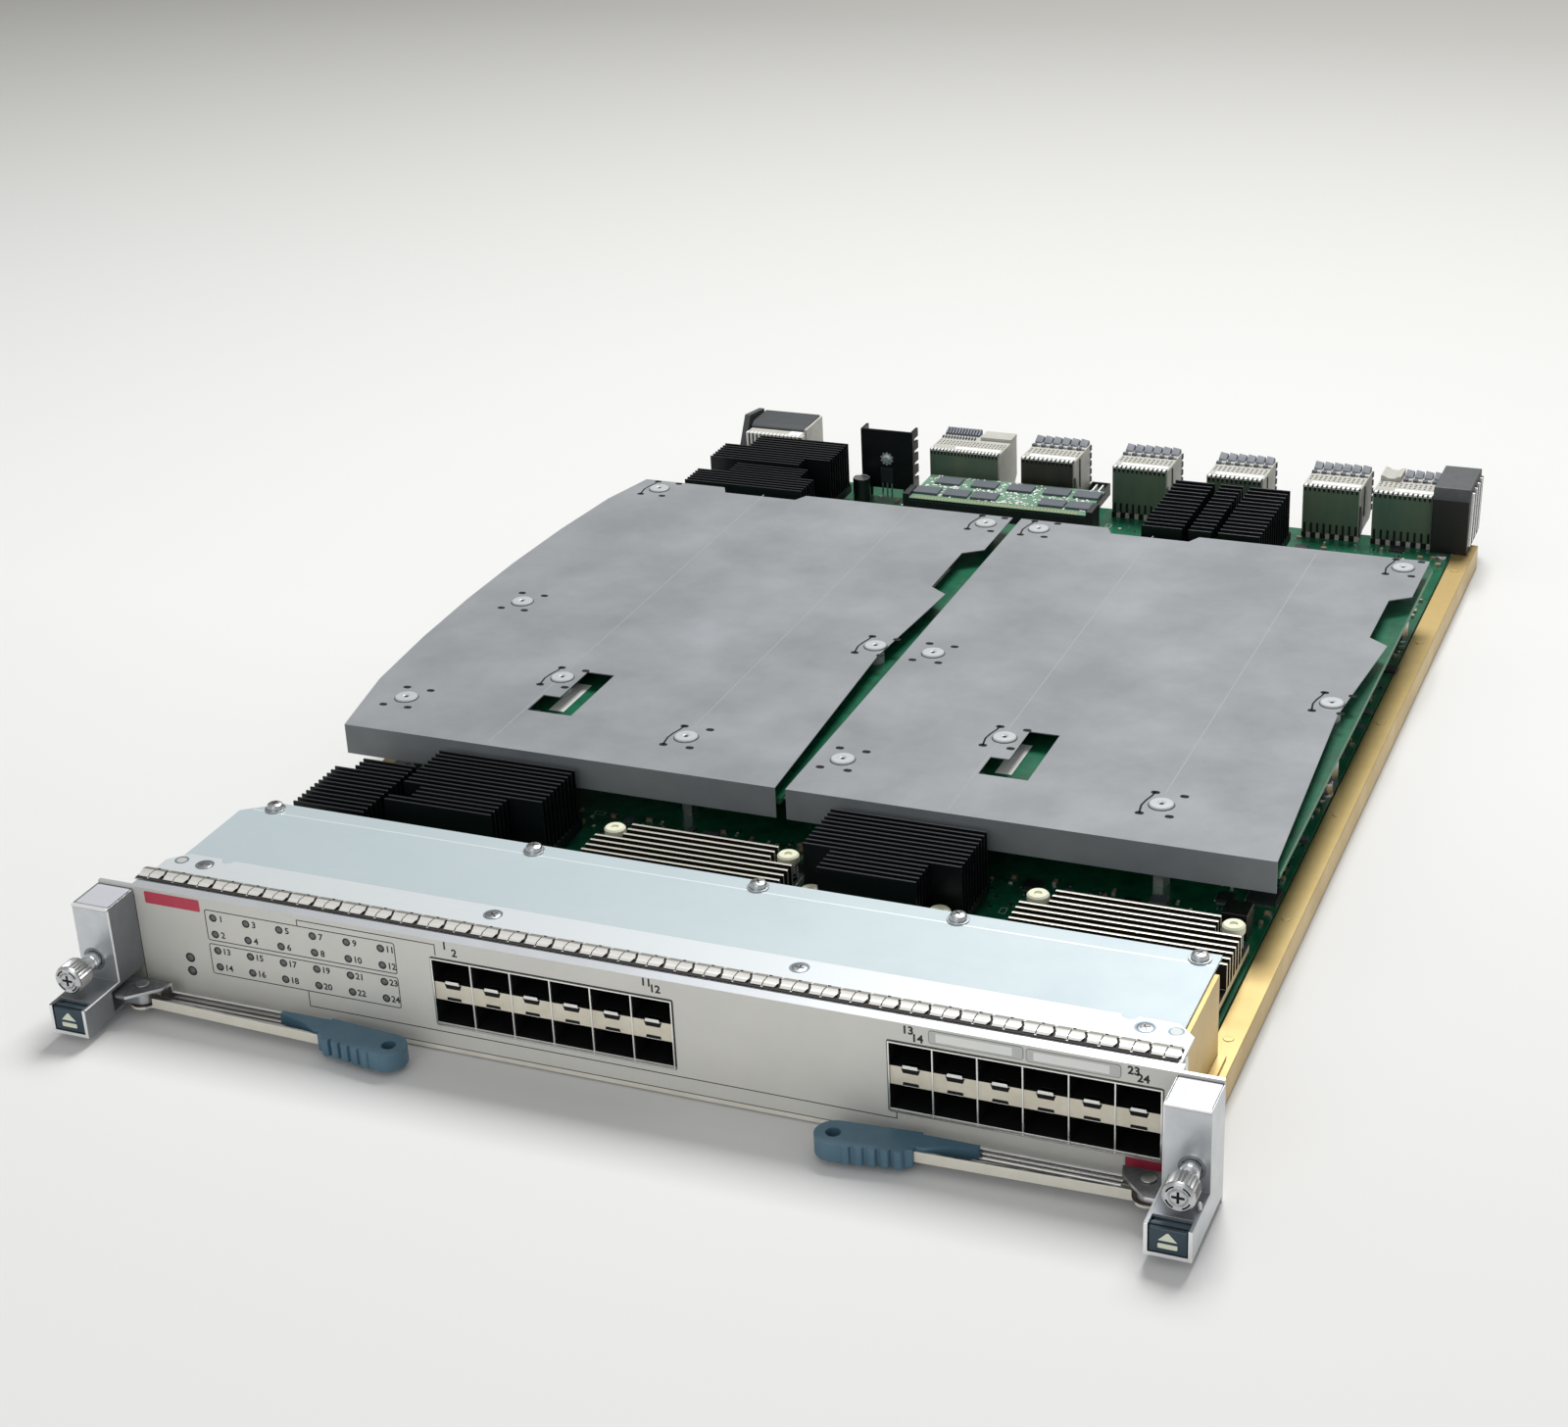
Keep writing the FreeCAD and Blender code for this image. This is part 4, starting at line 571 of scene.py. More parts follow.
def buildFaceplate():
    front = panel["front"]
    dress("faceplate", (0.3, 3), None,
          ("whiteZinc", lambda centre, way: centre.z > 39.8 and (way.z > 0.3 or centre.z > 41.2)))
    boxes = [(facePrint, rounded(panel["boxSides"], box, panel["corner"]), True) for box in panel["boxes"]]
    emit("panel-lines", boxes + [(facePrint, leader) for leader in panel["leaders"]], "ink")
    words = []
    singles = []
    for row, z in enumerate(lights["rows"]):
        for i in range(lights["count"]):
            number = 1 + 2 * i + (row % 2) + 12 * (row // 2)
            x = lights["first"] + lights["pitch"] * i
            singles.append((x, 0, z))
            words.append((str(number), x + lights["digitsAside"] + 0.4 * (number > 9), z))
    digits = [(lettering, words, lights["digits"], 0.08),
              (lettering, portDigits["places"], portDigits["size"], 0.12)]
    emit("panel-digits", digits, "ink")
    grown = (lights["singleSize"],) * 3
    singles += [(x, front * (1 - lights["singleSize"]), z, 0, grown) for x, z in lights["single"]]
    ring = lights["ring"]
    lens = lights["lens"]
    level = (0, front, 0)
    rim = [(0, 0.6), (ring, 0.6), (ring, -0.06), (lens, -0.06), (lens, 0.2), (0, 0.2)]
    dome = [(0, 0.5), (lens * 0.94, 0.5), (lens * 0.94, -0.02), (lens * 0.6, -0.17), (0, -0.22)]
    repeat("light-rims", [(lathe, rim, 20, "y", level)], singles, "blackNylon")
    repeat("light-lenses", [(lathe, dome, 16, "y", level)], singles, "smokedLens",
           stands=["status_light_pipes"])
    long = (-panel["halfLength"], panel["halfLength"])
    emit("panel-foot", [(block, long, (front - 0.1, front + 0.1), (panel["footLow"], panel["footHigh"]))],
         "creamEdge", (0.08, 2))
    # a painted shadow line above the foot strip
    emit("panel-seam", [(block, long, (front - 0.02, front + 0.1), (panel["footHigh"], panel["seamHigh"]))],
         "shade")


labels = {
    "thick": 0.12, "red": ((-176.0, -154.3), (36.4, 40.9)), "lowRed": ((164.6, 178.0), (3.4, 9.7)),
    "stickers": (((104.0, 133.6), (36.7, 41.1)), ((134.6, 163.5), (36.5, 40.9))), "corner": 0.9,
    "fieldInset": (2.2, 3.4, 0.7, 0.8), "lowInset": (0.5, 0.2, 0.2, 0.2),
}


def buildLabels():
    front = panel["front"]
    back = front - labels["thick"]

    def field(box, corner, inset=None):
        # a label on the faceplate; with an inset, the printed field on top of it
        (x0, x1), (z0, z1) = box
        left, right, low, high = inset or (0, 0, 0, 0)
        levels = (back - 0.02, back + 0.01) if inset else (back, front)
        return (plate, rounded((x0 + left, x1 - right), (z0 + low, z1 - high), corner), *levels, "xz")

    stickers = labels["stickers"]
    for name, material, bevel, parts in (
        ("red-label", "redLabel", (0.04, 1), [field(labels["red"], 0.5)]),
        ("low-label-edge", "paleLabel", None, [field(labels["lowRed"], 0.4)]),
        ("low-label", "darkRedLabel", None, [field(labels["lowRed"], 0.3, labels["lowInset"])]),
        ("sticker-borders", "paleLabel", None, [field(box, labels["corner"]) for box in stickers]),
        ("sticker-fields", "whiteLabel", None, [field(box, 0.3, labels["fieldInset"]) for box in stickers]),
        ("sticker-edges", "greyInk", None,
         [(ribbon, rounded(*box, labels["corner"]), 0.2, back - 0.03, back + 0.02, True)
          for box in stickers]),
    ):
        emit(name, parts, material, bevel)


buildFaceplate()
buildLabels()
print("stage: faceplate, print, labels and lights")


gasket = {
    "left": -183.0, "pitch": 9.8, "count": 37, "front": 4.7, "middle": 8.9, "rear": 11.0, "top": 43.18,
    "foot": 42.05, "sheet": 0.14, "slit": 0.42, "frontSlit": 0.5, "sway": 0.9, "fold": 0.34, "steps": 8,
    "roundShare": 0.16,
}
roof = {
    "top": 41.0, "stripTop": 42.0, "flatRow": 19.0, "flats": (-165.0, -54.0, 54.0, 165.0), "panRow": 64.0,
    "pans": (-165.0, -62.0, 21.0, 90.7, 170.0), "rings": (-174.5, 174.5), "ringRow": 19.5, "bendRow": 61.0,
    "coverSides": (-172.5, 175.5),
}


def finger(shape, front, rear, side):
    # half a finger of the gasket, swayed along its slit
    rings = []
    for i in range(gasket["steps"] + 1):
        y = front + (rear - front) * i / gasket["steps"]
        share = (y - gasket["front"]) / (gasket["rear"] - gasket["front"])
        rise = 1 - max(0.0, (share - 0.3) / 0.7) ** 2 * 0.55
        if share < gasket["roundShare"]:
            rise = (share / gasket["roundShare"]) ** 0.6
        z = gasket["foot"] + 0.12 + (gasket["top"] - gasket["foot"] - 0.12) * max(0.45, rise)
        gap = gasket["frontSlit"] * max(0.0, 1 - share * 4) ** 0.8 + gasket["slit"]
        outer = side * (gasket["pitch"] / 2 - gap) + gasket["sway"] * math.sin(2 * math.pi * share) * 0.5
        inner = side * gasket["fold"] / 2
        under = z - gasket["sheet"]
        rings.append([shape.verts.new((x, y, level))
                      for x, level in ((inner, z), (outer, z), (outer, under), (inner, under))])
    bridge(shape, rings)


def buildGasket():
    places = [(gasket["left"] + gasket["pitch"] * (i + 0.5), 0, 0) for i in range(gasket["count"])]
    front = gasket["front"]
    middle = gasket["middle"]
    rear = gasket["rear"]
    foot = gasket["foot"]
    # bright finger tips, the roots in painted shade
    for name, start, end, material in (("tips", front, middle, "fingerPlate"),
                                       ("roots", middle, rear, "fingerShade")):
        for side, hand in ((-1, "left"), (1, "right")):
            repeat("gasket-" + hand + "-" + name, [(finger, start, end, side)], places, material,
                   stands=["emi_finger_strip"], smooth=60)
    long = (gasket["left"] + 0.3, gasket["left"] + gasket["pitch"] * gasket["count"] - 0.3)
    # dark brown under the fingers, and a dark line below their front
    emit("gasket-foot", [(block, long, (front - 1.1, rear - 0.4), (foot - 0.03, foot + 0.28))], "gasketBrown")
    repeat("gasket-hooks", [(block, (-0.35, 0.35), (front - 0.5, front - 0.1), (foot - 0.02, foot + 0.3))],
           places, "fingerPlate")
    emit("gasket-line", [(block, long, (front - 1.7, front - 1.5), (foot - 0.03, foot + 0.04))], "gasketBrown")
    repeat("gasket-notches", [(block, (0.1, 1.1), (rear - 0.8, rear - 0.25), (foot + 0.4, foot + 0.82))],
           places, "pit")


def crossHead(profile, reach, wide, top, deep):
    # a turned head with a cross recess
    outline = [(reach, -wide), (reach, wide), (wide, wide), (wide, reach), (-wide, reach), (-wide, wide),
               (-reach, wide), (-reach, -wide), (-wide, -wide), (-wide, -reach), (wide, -reach),
               (wide, -wide)]
    return carve([(lathe, profile)], [(plate, outline, top - deep, top + 1)])


def buildRoof():
    # painted shade on the cover's faces that do not face up
    dress("top_cover", (0.25, 2), None, ("coverSideShade", lambda centre, way: way.z < 0.5))
    dress("front_strip", (0.35, 3), "stripZinc")
    strip = roof["stripTop"]
    base = roof["top"]
    flatHead = [(0, 37), (1.4, 37), (1.4, 40.8), (2.5, 42.0), (2.3, 42.08), (0, 42.1)]
    flats = [(x, roof["flatRow"], 0) for x in roof["flats"]]
    repeat("flat-screws", crossHead(flatHead, 1.7, 0.28, 42.1, 0.7),
           [(*place, 20 + 31 * i) for i, place in enumerate(flats)], "steel", stands=["cover_flat_screws"])
    seat = [(2.6, -0.3), (3.3, -0.3), (3.3, 0.03), (2.6, 0.03)]
    ring = [(1.8, -0.1), (2.5, -0.1), (2.5, 0.05), (2.2, 0.12), (1.8, 0.05)]
    hole = [(0, -0.1), (1.8, -0.1), (1.8, 0.02), (0, 0.02)]
    rings = [(x, roof["ringRow"], 0) for x in roof["rings"]]
    # rings of painted shade round the flat screw seats and the strip holes
    for name, profile, places, material in (
        ("flat-screw-seats", seat, flats, "slateShade"), ("strip-rings", ring, rings, "slateShade"),
        ("strip-holes", hole, rings, "paleLabel"),
    ):
        repeat(name, [(lathe, profile, 32, "z", (0, 0, strip))], places, material)
    panHead = [(0, base - 5), (1.4, base - 5), (1.4, base + 0.6), (2.9, base + 0.6), (2.95, base + 1.3),
               (2.6, base + 2.1), (1.9, base + 2.5), (0, base + 2.6)]
    pans = [(x, roof["panRow"], 0) for x in roof["pans"]]
    repeat("pan-screws", crossHead(panHead, 1.7, 0.3, base + 2.6, 1.0),
           [(*place, 17 * i) for i, place in enumerate(pans)], "steel", stands=["cover_pan_screws"])
    washer = [(1.5, 0), (3.7, 0), (3.7, 0.6), (1.5, 0.6)]
    repeat("pan-washers", [(lathe, washer, 32, "z", (0, 0, base))], pans, "steel", bevel=(0.12, 2))
    row = roof["bendRow"]
    bend = [(row, base - 0.1), (row + 0.8, base - 0.1), (row + 0.8, base + 0.03), (row + 0.4, base + 0.1),
            (row, base + 0.03)]
    emit("cover-bend", [(plate, bend, *roof["coverSides"], "yz")], "coverLine", smooth=80)


buildGasket()
buildRoof()
print("stage: roof")


ports = {
    "lefts": (-66.6, 90.7), "wide": 85.5, "low": 10.0, "high": 35.0, "front": -1.9, "pitch": 14.25,
    "count": 6, "bandLow": 19.65, "bandHigh": 26.25, "bandFront": -1.4, "edge": 0.15, "frameInset": 0.2,
    "outlineGap": 0.55,
}


def buildPorts():
    pitch = ports["pitch"]
    front = ports["front"]
    edge = ports["edge"]
    for side in ("left", "right"):
        lowX, highX = [end.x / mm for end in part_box(side + "_port_cage")]
        # painted shade on the cage's inner walls, the dividers' sides and the separators' rear; the fronts
        # stay bright tin
        dress(side + "_port_cage", (0.12, 2), "brightTin",
              ("shadedTin", lambda centre, way: centre.y > -1 and lowX + edge < centre.x < highX - edge
               and ports["low"] + edge < centre.z < ports["high"] - edge))
        dress(side + "_port_dividers", (0.06, 1), "shadedTin", ("brightTin", lambda centre, way: way.y < -0.5))
        dress(side + "_port_separators", (0.1, 2), "beigeContact",
              ("shadedTin", lambda centre, way: centre.y > -0.9))
        frame["nodes"][side + "_port_connectors"].data.materials.clear()
        frame["nodes"][side + "_port_connectors"].data.materials.append(finishes["pitNylon"])
    high = ports["bandHigh"]
    low = ports["bandLow"]
    band = ports["bandFront"]
    places = [(left + pitch * (i + 0.5), 0, 0) for left in ports["lefts"] for i in range(ports["count"])]
    # latch tab over each band, its dark slots, and the lip along the band's foot
    tab = [(-2.6, high - 0.2), (2.6, high - 0.2), (2.35, high + 1.0), (-2.35, high + 1.0)]
    repeat("latch-tabs", [(plate, tab, band - 0.5, band - 0.25, "xz")], places, "brightTin",
           (0.07, 2))
    upper = [(-3.1, high - 0.2), (3.1, high - 0.2), (2.5, high - 2.0), (-2.5, high - 2.0)]
    lower = [(-2.65, low + 0.3), (2.65, low + 0.3), (2.5, low + 1.3), (-2.5, low + 1.3)]
    repeat("latch-slots", [(plate, slot, band - 0.06, band + 0.1, "xz") for slot in (upper, lower)], places,
           "pit")
    repeat("latch-lips", [(block, (-2.5, 2.5), (band - 0.12, band + 0.1), (low + 0.1, low + 0.3))], places,
           "brightTin")
    # bright frame round each block, with a dark line round it
    frames = []
    lines = []
    for left in ports["lefts"]:
        inset = ports["frameInset"]
        gap = ports["outlineGap"]
        x = (left + inset, left + ports["wide"] - inset)
        z = (ports["low"] + inset, ports["high"] - inset)
        corners = [(x[0], z[0]), (x[0], z[1]), (x[1], z[1]), (x[1], z[0])]
        frames.append((ribbon, corners, 0.45, front - 0.12, front + 0.2, True))
        lines.append((ribbon, rounded((x[0] - gap, x[1] + gap), (z[0] - gap, z[1] + gap), 0.8), 0.22,
                      panel["front"] + 0.05, panel["front"] - 0.03, True))
    emit("port-frames", frames, "brightTin")
    emit("port-outlines", lines, "ink")
    webs = [(left + pitch * i, 0, 0) for left in ports["lefts"] for i in range(1, ports["count"])]
    tall = (ports["low"] + 0.4, ports["high"] - 0.4)
    repeat("port-webs", [(block, (-0.26, 0.26), (front + 0.05, front + 0.9), tall)], webs, "brightTin",
           (0.08, 2))


buildPorts()
print("stage: ports")


ejector = {
    "inner": 180.3, "outer": 194.55, "towerFront": -16.5, "towerTop": 40.9, "panelFront": -1.5,
    "noseFront": -36.5, "buttonFront": -36.3, "signX": 187.4, "screwX": 189.0, "screwZ": 20.5,
    "knobFront": -32.0, "knobBack": -24.0, "knob": 5.15, "knurls": 26, "knurlDepth": 0.5, "neckBack": -16.8,
    "shank": 1.75, "thread": 1.95, "channelLines": (120.0, 166.0),
    "seam": ((-1.7, 21.0), (-2.6, 17.5), (-5.4, 13.0), (-8.0, 9.5), (-9.4, 6.0), (-9.8, 2.9)),
}


def buildHousings():
    top = ejector["towerTop"]
    front = ejector["towerFront"]
    inner = ejector["inner"]
    outer = ejector["outer"]
    back = ejector["panelFront"]
    for side, inside in (("right", -1), ("left", 1)):
        # painted highlight on the nose front and along the inner top edges; painted shade on the nose top
        # and on the inner walls
        dress(side + "_ejector_housing", (0.4, 3), None,
              ("highlightWhite", lambda centre, way: centre.y < ejector["noseFront"] + 0.5 or
               (centre.y < -23.0 and way.z > 0.5 and centre.z > 12.6 and abs(centre.x) < inner + 1.1)),
              ("noseGrey", lambda centre, way: way.z > 0.9 and 12.8 < centre.z < 13.1 and centre.y > -35.0),
              ("shadedCasting", lambda centre, way: way.x * inside > 0.9 and abs(centre.x) < inner + 0.5))
    # painted highlights along the tower's inner front edge and the nose's inner top edge
    edgeX = inner + 0.2
    edgeY = front + 0.2
    bothSides("tower-edge", [(wire, [(edgeX, edgeY, top - 0.7), (edgeX, edgeY, 13.0)], 0.34, 10),
                             (wire, [(edgeX, edgeY, 12.85), (edgeX, -36.0, 12.85)], 0.3, 10)], "highlightWhite")
    # a painted shade line where the tower meets the faceplate
    root = [(inner + 0.02, back - 0.08, z) for z in (2.6, 39.0)]
    bothSides("tower-root", [(wire, root, 0.14)], "ink")
    bothSides("tower-cover",
              [(plate, rounded((-19.1, -3.9), (5.2, 11.8), 0.6), outer - 0.07, outer + 0.05, "yz")],
              "casting")
    plateOutline = rounded((inner + 0.9, outer - 0.7), (front + 1.3, back - 0.5), 0.5)
    bothSides("tower-plate", [(plate, plateOutline, top - 0.1, top + 0.06)], "paleLavender",
              (0.06, 2))
    corners = [(inner + 0.45, front + 1.0), (inner + 0.45, back - 0.2), (outer - 0.35, back - 0.2),
               (outer - 0.35, front + 1.0)]
    half = 0.14
    outline = [(block, (min(x0, x1) - half, max(x0, x1) + half), (min(y0, y1) - half, max(y0, y1) + half),
                (top - 0.1, top + 0.03)) for (x0, y0), (x1, y1) in zip(corners, corners[1:])]
    bothSides("tower-outline", outline, "ink")
    # the lip along the tower's top front edge in painted highlight white, with a painted shadow under it
    bothSides("tower-lip", [(block, (inner + 0.1, outer), (front - 0.55, front + 0.75),
                             (top - 0.75, top + 0.12))],
              "highlightWhite", (0.2, 3))
    bothSides("tower-shadow", [(block, (inner + 0.2, outer - 0.1), (front - 0.06, front + 0.1),
                                (top - 1.1, top - 0.7))], "ink")
    post = [(0, 12.6), (0.75, 12.6), (0.75, 15.0), (0.45, 15.6), (0, 15.7)]
    bothSides("nose-post", [(lathe, post, 14, "z", (outer - 0.95, -25.2, 0))], "steel")
    bothSides("tower-seam", [(wire, [(outer - 0.05, y, z) for y, z in ejector["seam"]], 0.09)], "ink")


def buildButtons():
    front = ejector["buttonFront"]
    middle = ejector["signX"]
    for side in ("right", "left"):
        dress(side + "_eject_button", (0.4, 3), "buttonNylon",
              ("buttonTop", lambda centre, way: way.z > 0.3 and centre.z > 10))
    triangle = [(middle - 2.8, 8.2), (middle + 2.8, 8.2), (middle + 0.25, 10.9), (middle - 0.25, 10.9)]
    bar = rounded((middle - 2.9, middle + 2.9), (5.6, 7.2), 0.35)
    bothSides("eject-sign", [(plate, outline, front - 0.1, front + 0.1, "xz")
                             for outline in (triangle, bar)],
              "creamPaint", None, "_button")
    gap = rounded((ejector["inner"] + 1.05, ejector["outer"] - 1.0), (3.5, 12.9), 0.5)
    bothSides("button-gap", [(ribbon, gap, 0.5, front + 0.35, front + 0.6, True)], "pit")


def buildScrews():
    x = ejector["screwX"]
    z = ejector["screwZ"]
    front = ejector["knobFront"]
    back = ejector["knobBack"]
    radius = ejector["knob"]
    shank = ejector["shank"]
    thread = ejector["thread"]
    neckBack = ejector["neckBack"]
    grip = star(ejector["knurls"] * 2, radius, radius - ejector["knurlDepth"], x, z)
    face = [(0, 0.1), (2.3, 0.1), (2.7, 0.5), (3.1, 0.1), (4.3, 0), (4.95, 0.5), (4.95, 1.3), (0, 1.3)]
    cross = [(block, (x - 1.95, x + 1.95), (front + 0.02, front + 0.3), (z - 0.4, z + 0.4)),
             (block, (x - 0.4, x + 0.4), (front + 0.03, front + 0.3), (z - 1.95, z + 1.95))]
    slots = []
    for start in (20, 110, 200, 290):
        angles = [math.radians(start + 12 * i) for i in range(5)]
        slots.append((ribbon, [(x + 3.75 * math.cos(a), z + 3.75 * math.sin(a)) for a in angles], 0.55,
                      front - 0.01, front + 0.2))
    neck = [(0, back - 0.9), (4.7, back - 0.9), (4.7, back - 0.3), (3.6, back + 0.1), (2.6, back + 0.5),
            (2.6, back + 1.7), (3.0, back + 1.9), (3.0, back + 3.1), (2.6, back + 3.3), (2.6, back + 4.4),
            (3.0, back + 4.7), (3.0, neckBack), (shank, neckBack), (shank, 0.1), (thread, 0.1),
            (thread, 7.4), (1.5, 8.0), (0, 8.0)]
    bothSides("knob-grip", [(plate, grip, front + 1.1, back - 0.7, "xz")], "knurlSteel", None,
              "_screw", smooth=15)
    bothSides("knob-face", [(lathe, face, 40, "y", (x, front, z))], "steel", None, "_screw")
    bothSides("knob-cross", cross, "pit", None, "_screw")
    bothSides("knob-slots", slots, "pit", None, "_screw")
    bothSides("screw-neck", [(lathe, neck, 32, "y", (x, 0, z))], "chrome", None, "_screw",
              "_captive_screw")
    # a ring of painted shade in the recess round the screw
    recess = [(3.25, -0.05), (4.2, -0.05), (4.2, 0.2), (3.25, 0.2)]
    bothSides("screw-recess", [(lathe, recess, 36, "y", (x, ejector["towerFront"], z))], "shadedCasting")


def buildLevers():
    for side in ("right", "left"):
        # painted shade on the channel floor and on the lug top, a painted highlight on the rear rim, and the
        # front face painted cream as a lit face
        dress(side + "_lever_arm", (0.22, 2), None,
              ("channelShade", lambda centre, way: way.z > 0.7 and centre.z < 4.5
               and -15.2 < centre.y < -7.6),
              ("highlightWhite", lambda centre, way: way.z > 0.6 and 6 < centre.z < 7 and centre.y > -8.3),
              ("creamEdge", lambda centre, way: way.y < -0.8 and centre.y < -13.0 and centre.z < 7.5),
              ("lugShade", lambda centre, way: way.z > 0.8 and centre.z > 9.9))
        dress(side + "_lever_handle", (0.55, 3))
        dress(side + "_lever_pivot_pin", (0.2, 2), "steel")
        dress(side + "_captive_screw_collar", (0.12, 2), "steel")
    # two pressed lines along the channel
    long = ejector["channelLines"]
    bothSides("lever-lines",
              [(block, long, (-9.5, -8.7), (3.9, 4.4)), (block, long, (-10.6, -10.3), (3.9, 4.2))],
              "brightTin", (0.1, 2), "_lever")


buildHousings()
buildButtons()
buildScrews()
buildLevers()
print("stage: ejectors")


sheets = {
    "lefts": (-178.0, 2.0), "top": 40.5, "boardTop": 34.0, "creaseStart": 136.0, "creaseMiddle": 270.0,
    "studs": ((11.0, 161.5), (129.0, 161.5), (61.0, 195.5), (11.0, 258.5), (167.0, 258.5), (11.0, 394.0),
              (167.0, 394.0)),
    "creases": (((60.0, 84.0), (60.0, 400.0)), ((128.0, 120.0), (130.0, 400.0))),
    "slots": ((-4.5, 8.6), (5.9, 8.5), (-5.7, -7.9), (4.8, -7.6)), "slotHalf": (1.6, 1.15),
    "slit": ((-4.6, 9.0), (-4.9, 6.0), (-6.0, 2.0), (-6.6, -2.0), (-6.2, -5.0), (-5.7, -8.0)),
    "uncut": ((11.0, 161.5), (11.0, 258.5)), "mark": ((54.0, 59.5), (170.0, 178.5)), "markLine": 0.25,
    "patches": (((62.3, 68.6), (180.0, 205.0)), ((160.0, 164.0), (332.0, 356.0))),
}


def buildSheets():
    for side in ("left", "right"):
        dress(side + "_insulating_cover", (0.16, 2), None, ("lipSheet", lambda centre, way: way.y < -0.7))
    top = sheets["top"]
    level = sheets["boardTop"]
    lefts = sheets["lefts"]
    places = [(left + u, v, 0) for left in lefts for u, v in sheets["studs"]]
    stud = [(0, 34.0), (3.4, 34.0), (3.4, top - 0.3), (4.4, top), (4.4, top + 0.45), (4.0, top + 0.8),
            (1.5, top + 0.85), (1.1, top + 0.55), (0, top + 0.5)]
    dot = [(0, 0.4), (0.8, 0.4), (0.8, 0.62), (0, 0.62)]
    shadow = [(4.3, -0.02), (4.75, -0.02), (4.75, 0.05), (4.3, 0.05)]
    repeat("studs", [(lathe, stud)], places, "studNylon", stands=["cover_studs"])
    repeat("stud-dots", [(lathe, dot, 14, "z", (0, 0, top))], places, "ink")

    def flat(shape, points, wide):
        # a ribbon that lies on the sheet
        part = draw([(ribbon, points, wide, 0, 0.06)])
        for corner in part.verts:
            corner.co = (corner.co.x, corner.co.z, top - 0.02 + corner.co.y)
        mesh = bpy.data.meshes.new("flat")
        part.to_mesh(mesh)
        part.free()
        shape.from_mesh(mesh)

    # four small slots round each stud, and a slit between two of them where the sheet was cut free
    halfX, halfY = sheets["slotHalf"]
    slots = [(plate, rounded((x - halfX, x + halfX), (y - halfY, y + halfY), 1.1), top - 0.02, top + 0.04)
             for x, y in sheets["slots"]]
    repeat("sheet-slots", slots, places, "pit")
    cut = [(left + u, v, 0) for left in lefts for u, v in sheets["studs"] if (u, v) not in sheets["uncut"]]
    repeat("sheet-slits", [(flat, sheets["slit"], 0.75)], cut, "pit")
    # a painted shadow round the foot of each stud
    repeat("stud-shadows", [(lathe, shadow, 28, "z", (0, 0, top))], places, "ink")
    creases = [(flat, [(left + u0, max(v0 + 50, sheets["creaseStart"])),
                       (left + (u0 + u1) / 2, sheets["creaseMiddle"]), (left + u1, v1)], 0.42)
               for left in lefts for (u0, v0), (u1, v1) in sheets["creases"]]
    emit("sheet-creases", creases, "creaseSheet")
    patches = [(block, (left + u0, left + u1), rows, (level - 0.02, level + 0.08))
               for left in lefts for (u0, u1), rows in sheets["patches"]]
    emit("board-patches", patches, "whiteLabel")
    (u0, u1), (v0, v1) = sheets["mark"]
    line = sheets["markLine"]
    sides = (((u0, u0 + line), (v0, v1)), ((u1 - line, u1), (v0, v1)),
             ((u0, u1), (v0, v0 + line)), ((u0, u1), (v1 - line, v1)))
    marks = [(block, (left + a, left + b), rows, (level - 0.02, level + 0.05))
             for left in lefts for (a, b), rows in sides]
    emit("board-marks", marks, "whiteLabel")
    # shaded green board: a strip of painted shade along the gap between the sheets
    emit("gap-strip", [(block, (-1.9, 1.9), (140.0, 408.0), (31.8, 33.0))], "darkBoard")


buildSheets()
print("stage: sheets")


coolers = {
    "black": ("front_left_heatsinks", "front_centre_heatsink", "rear_left_heatsinks",
              "rear_centre_heatsink"),
    "pins": ((26.5, 95, 0), (73, 95, 0), (-57.6, 116, 0), (9.6, 116, 0), (100.9, 116, 0), (168.1, 116, 0)),
    "coilFoot": 15.7, "coilTall": 6.2, "coilTurns": 5, "highlightBand": 1.4, "blackPit": 5, "barePit": 4,
    "bareShade": 9,
}


def buildHeatsinks():
    for node in coolers["black"]:
        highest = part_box(node)[1].z / mm
        # painted highlight on the fin tops, painted shade on the floor between the fins
        dress(node, (0.1, 1), None,
              ("finTopHighlight", lambda centre, way: way.z > 0.3 and centre.z > highest - coolers["highlightBand"]),
              ("finPit", lambda centre, way: way.z > 0.7 and centre.z < highest - coolers["blackPit"]))
    for node in ("left_phy_heatsink", "right_phy_heatsink"):
        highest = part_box(node)[1].z / mm
        # painted shade on the floor between the bare fins and on their walls near the top
        dress(node, (0.12, 1), None,
              ("finPit", lambda centre, way: way.z > 0.7 and centre.z < highest - coolers["barePit"]),
              ("finShade", lambda centre, way: abs(way.y) > 0.7
               and centre.z > highest - coolers["bareShade"]))
    dress("chips", (0.15, 1), "chipBlack")
    pin = [(0, 10), (1.2, 10), (1.2, 22.0), (3.9, 22.0), (4.0, 22.6), (3.9, 24.4), (3.3, 25.0), (1.4, 25.0),
           (1.2, 24.3), (0, 24.3)]
    repeat("push-pins", [(lathe, pin, 20)], coolers["pins"], "creamNylon",
           stands=["push_pins"])
    spring = (coil, (0, 0, coolers["coilFoot"]), "z", 3.0, 0.32, coolers["coilTall"], coolers["coilTurns"])
    repeat("push-pin-coils", [spring], coolers["pins"], "steel", stands=["push_pin_springs"])


buildHeatsinks()
print("stage: heatsinks")


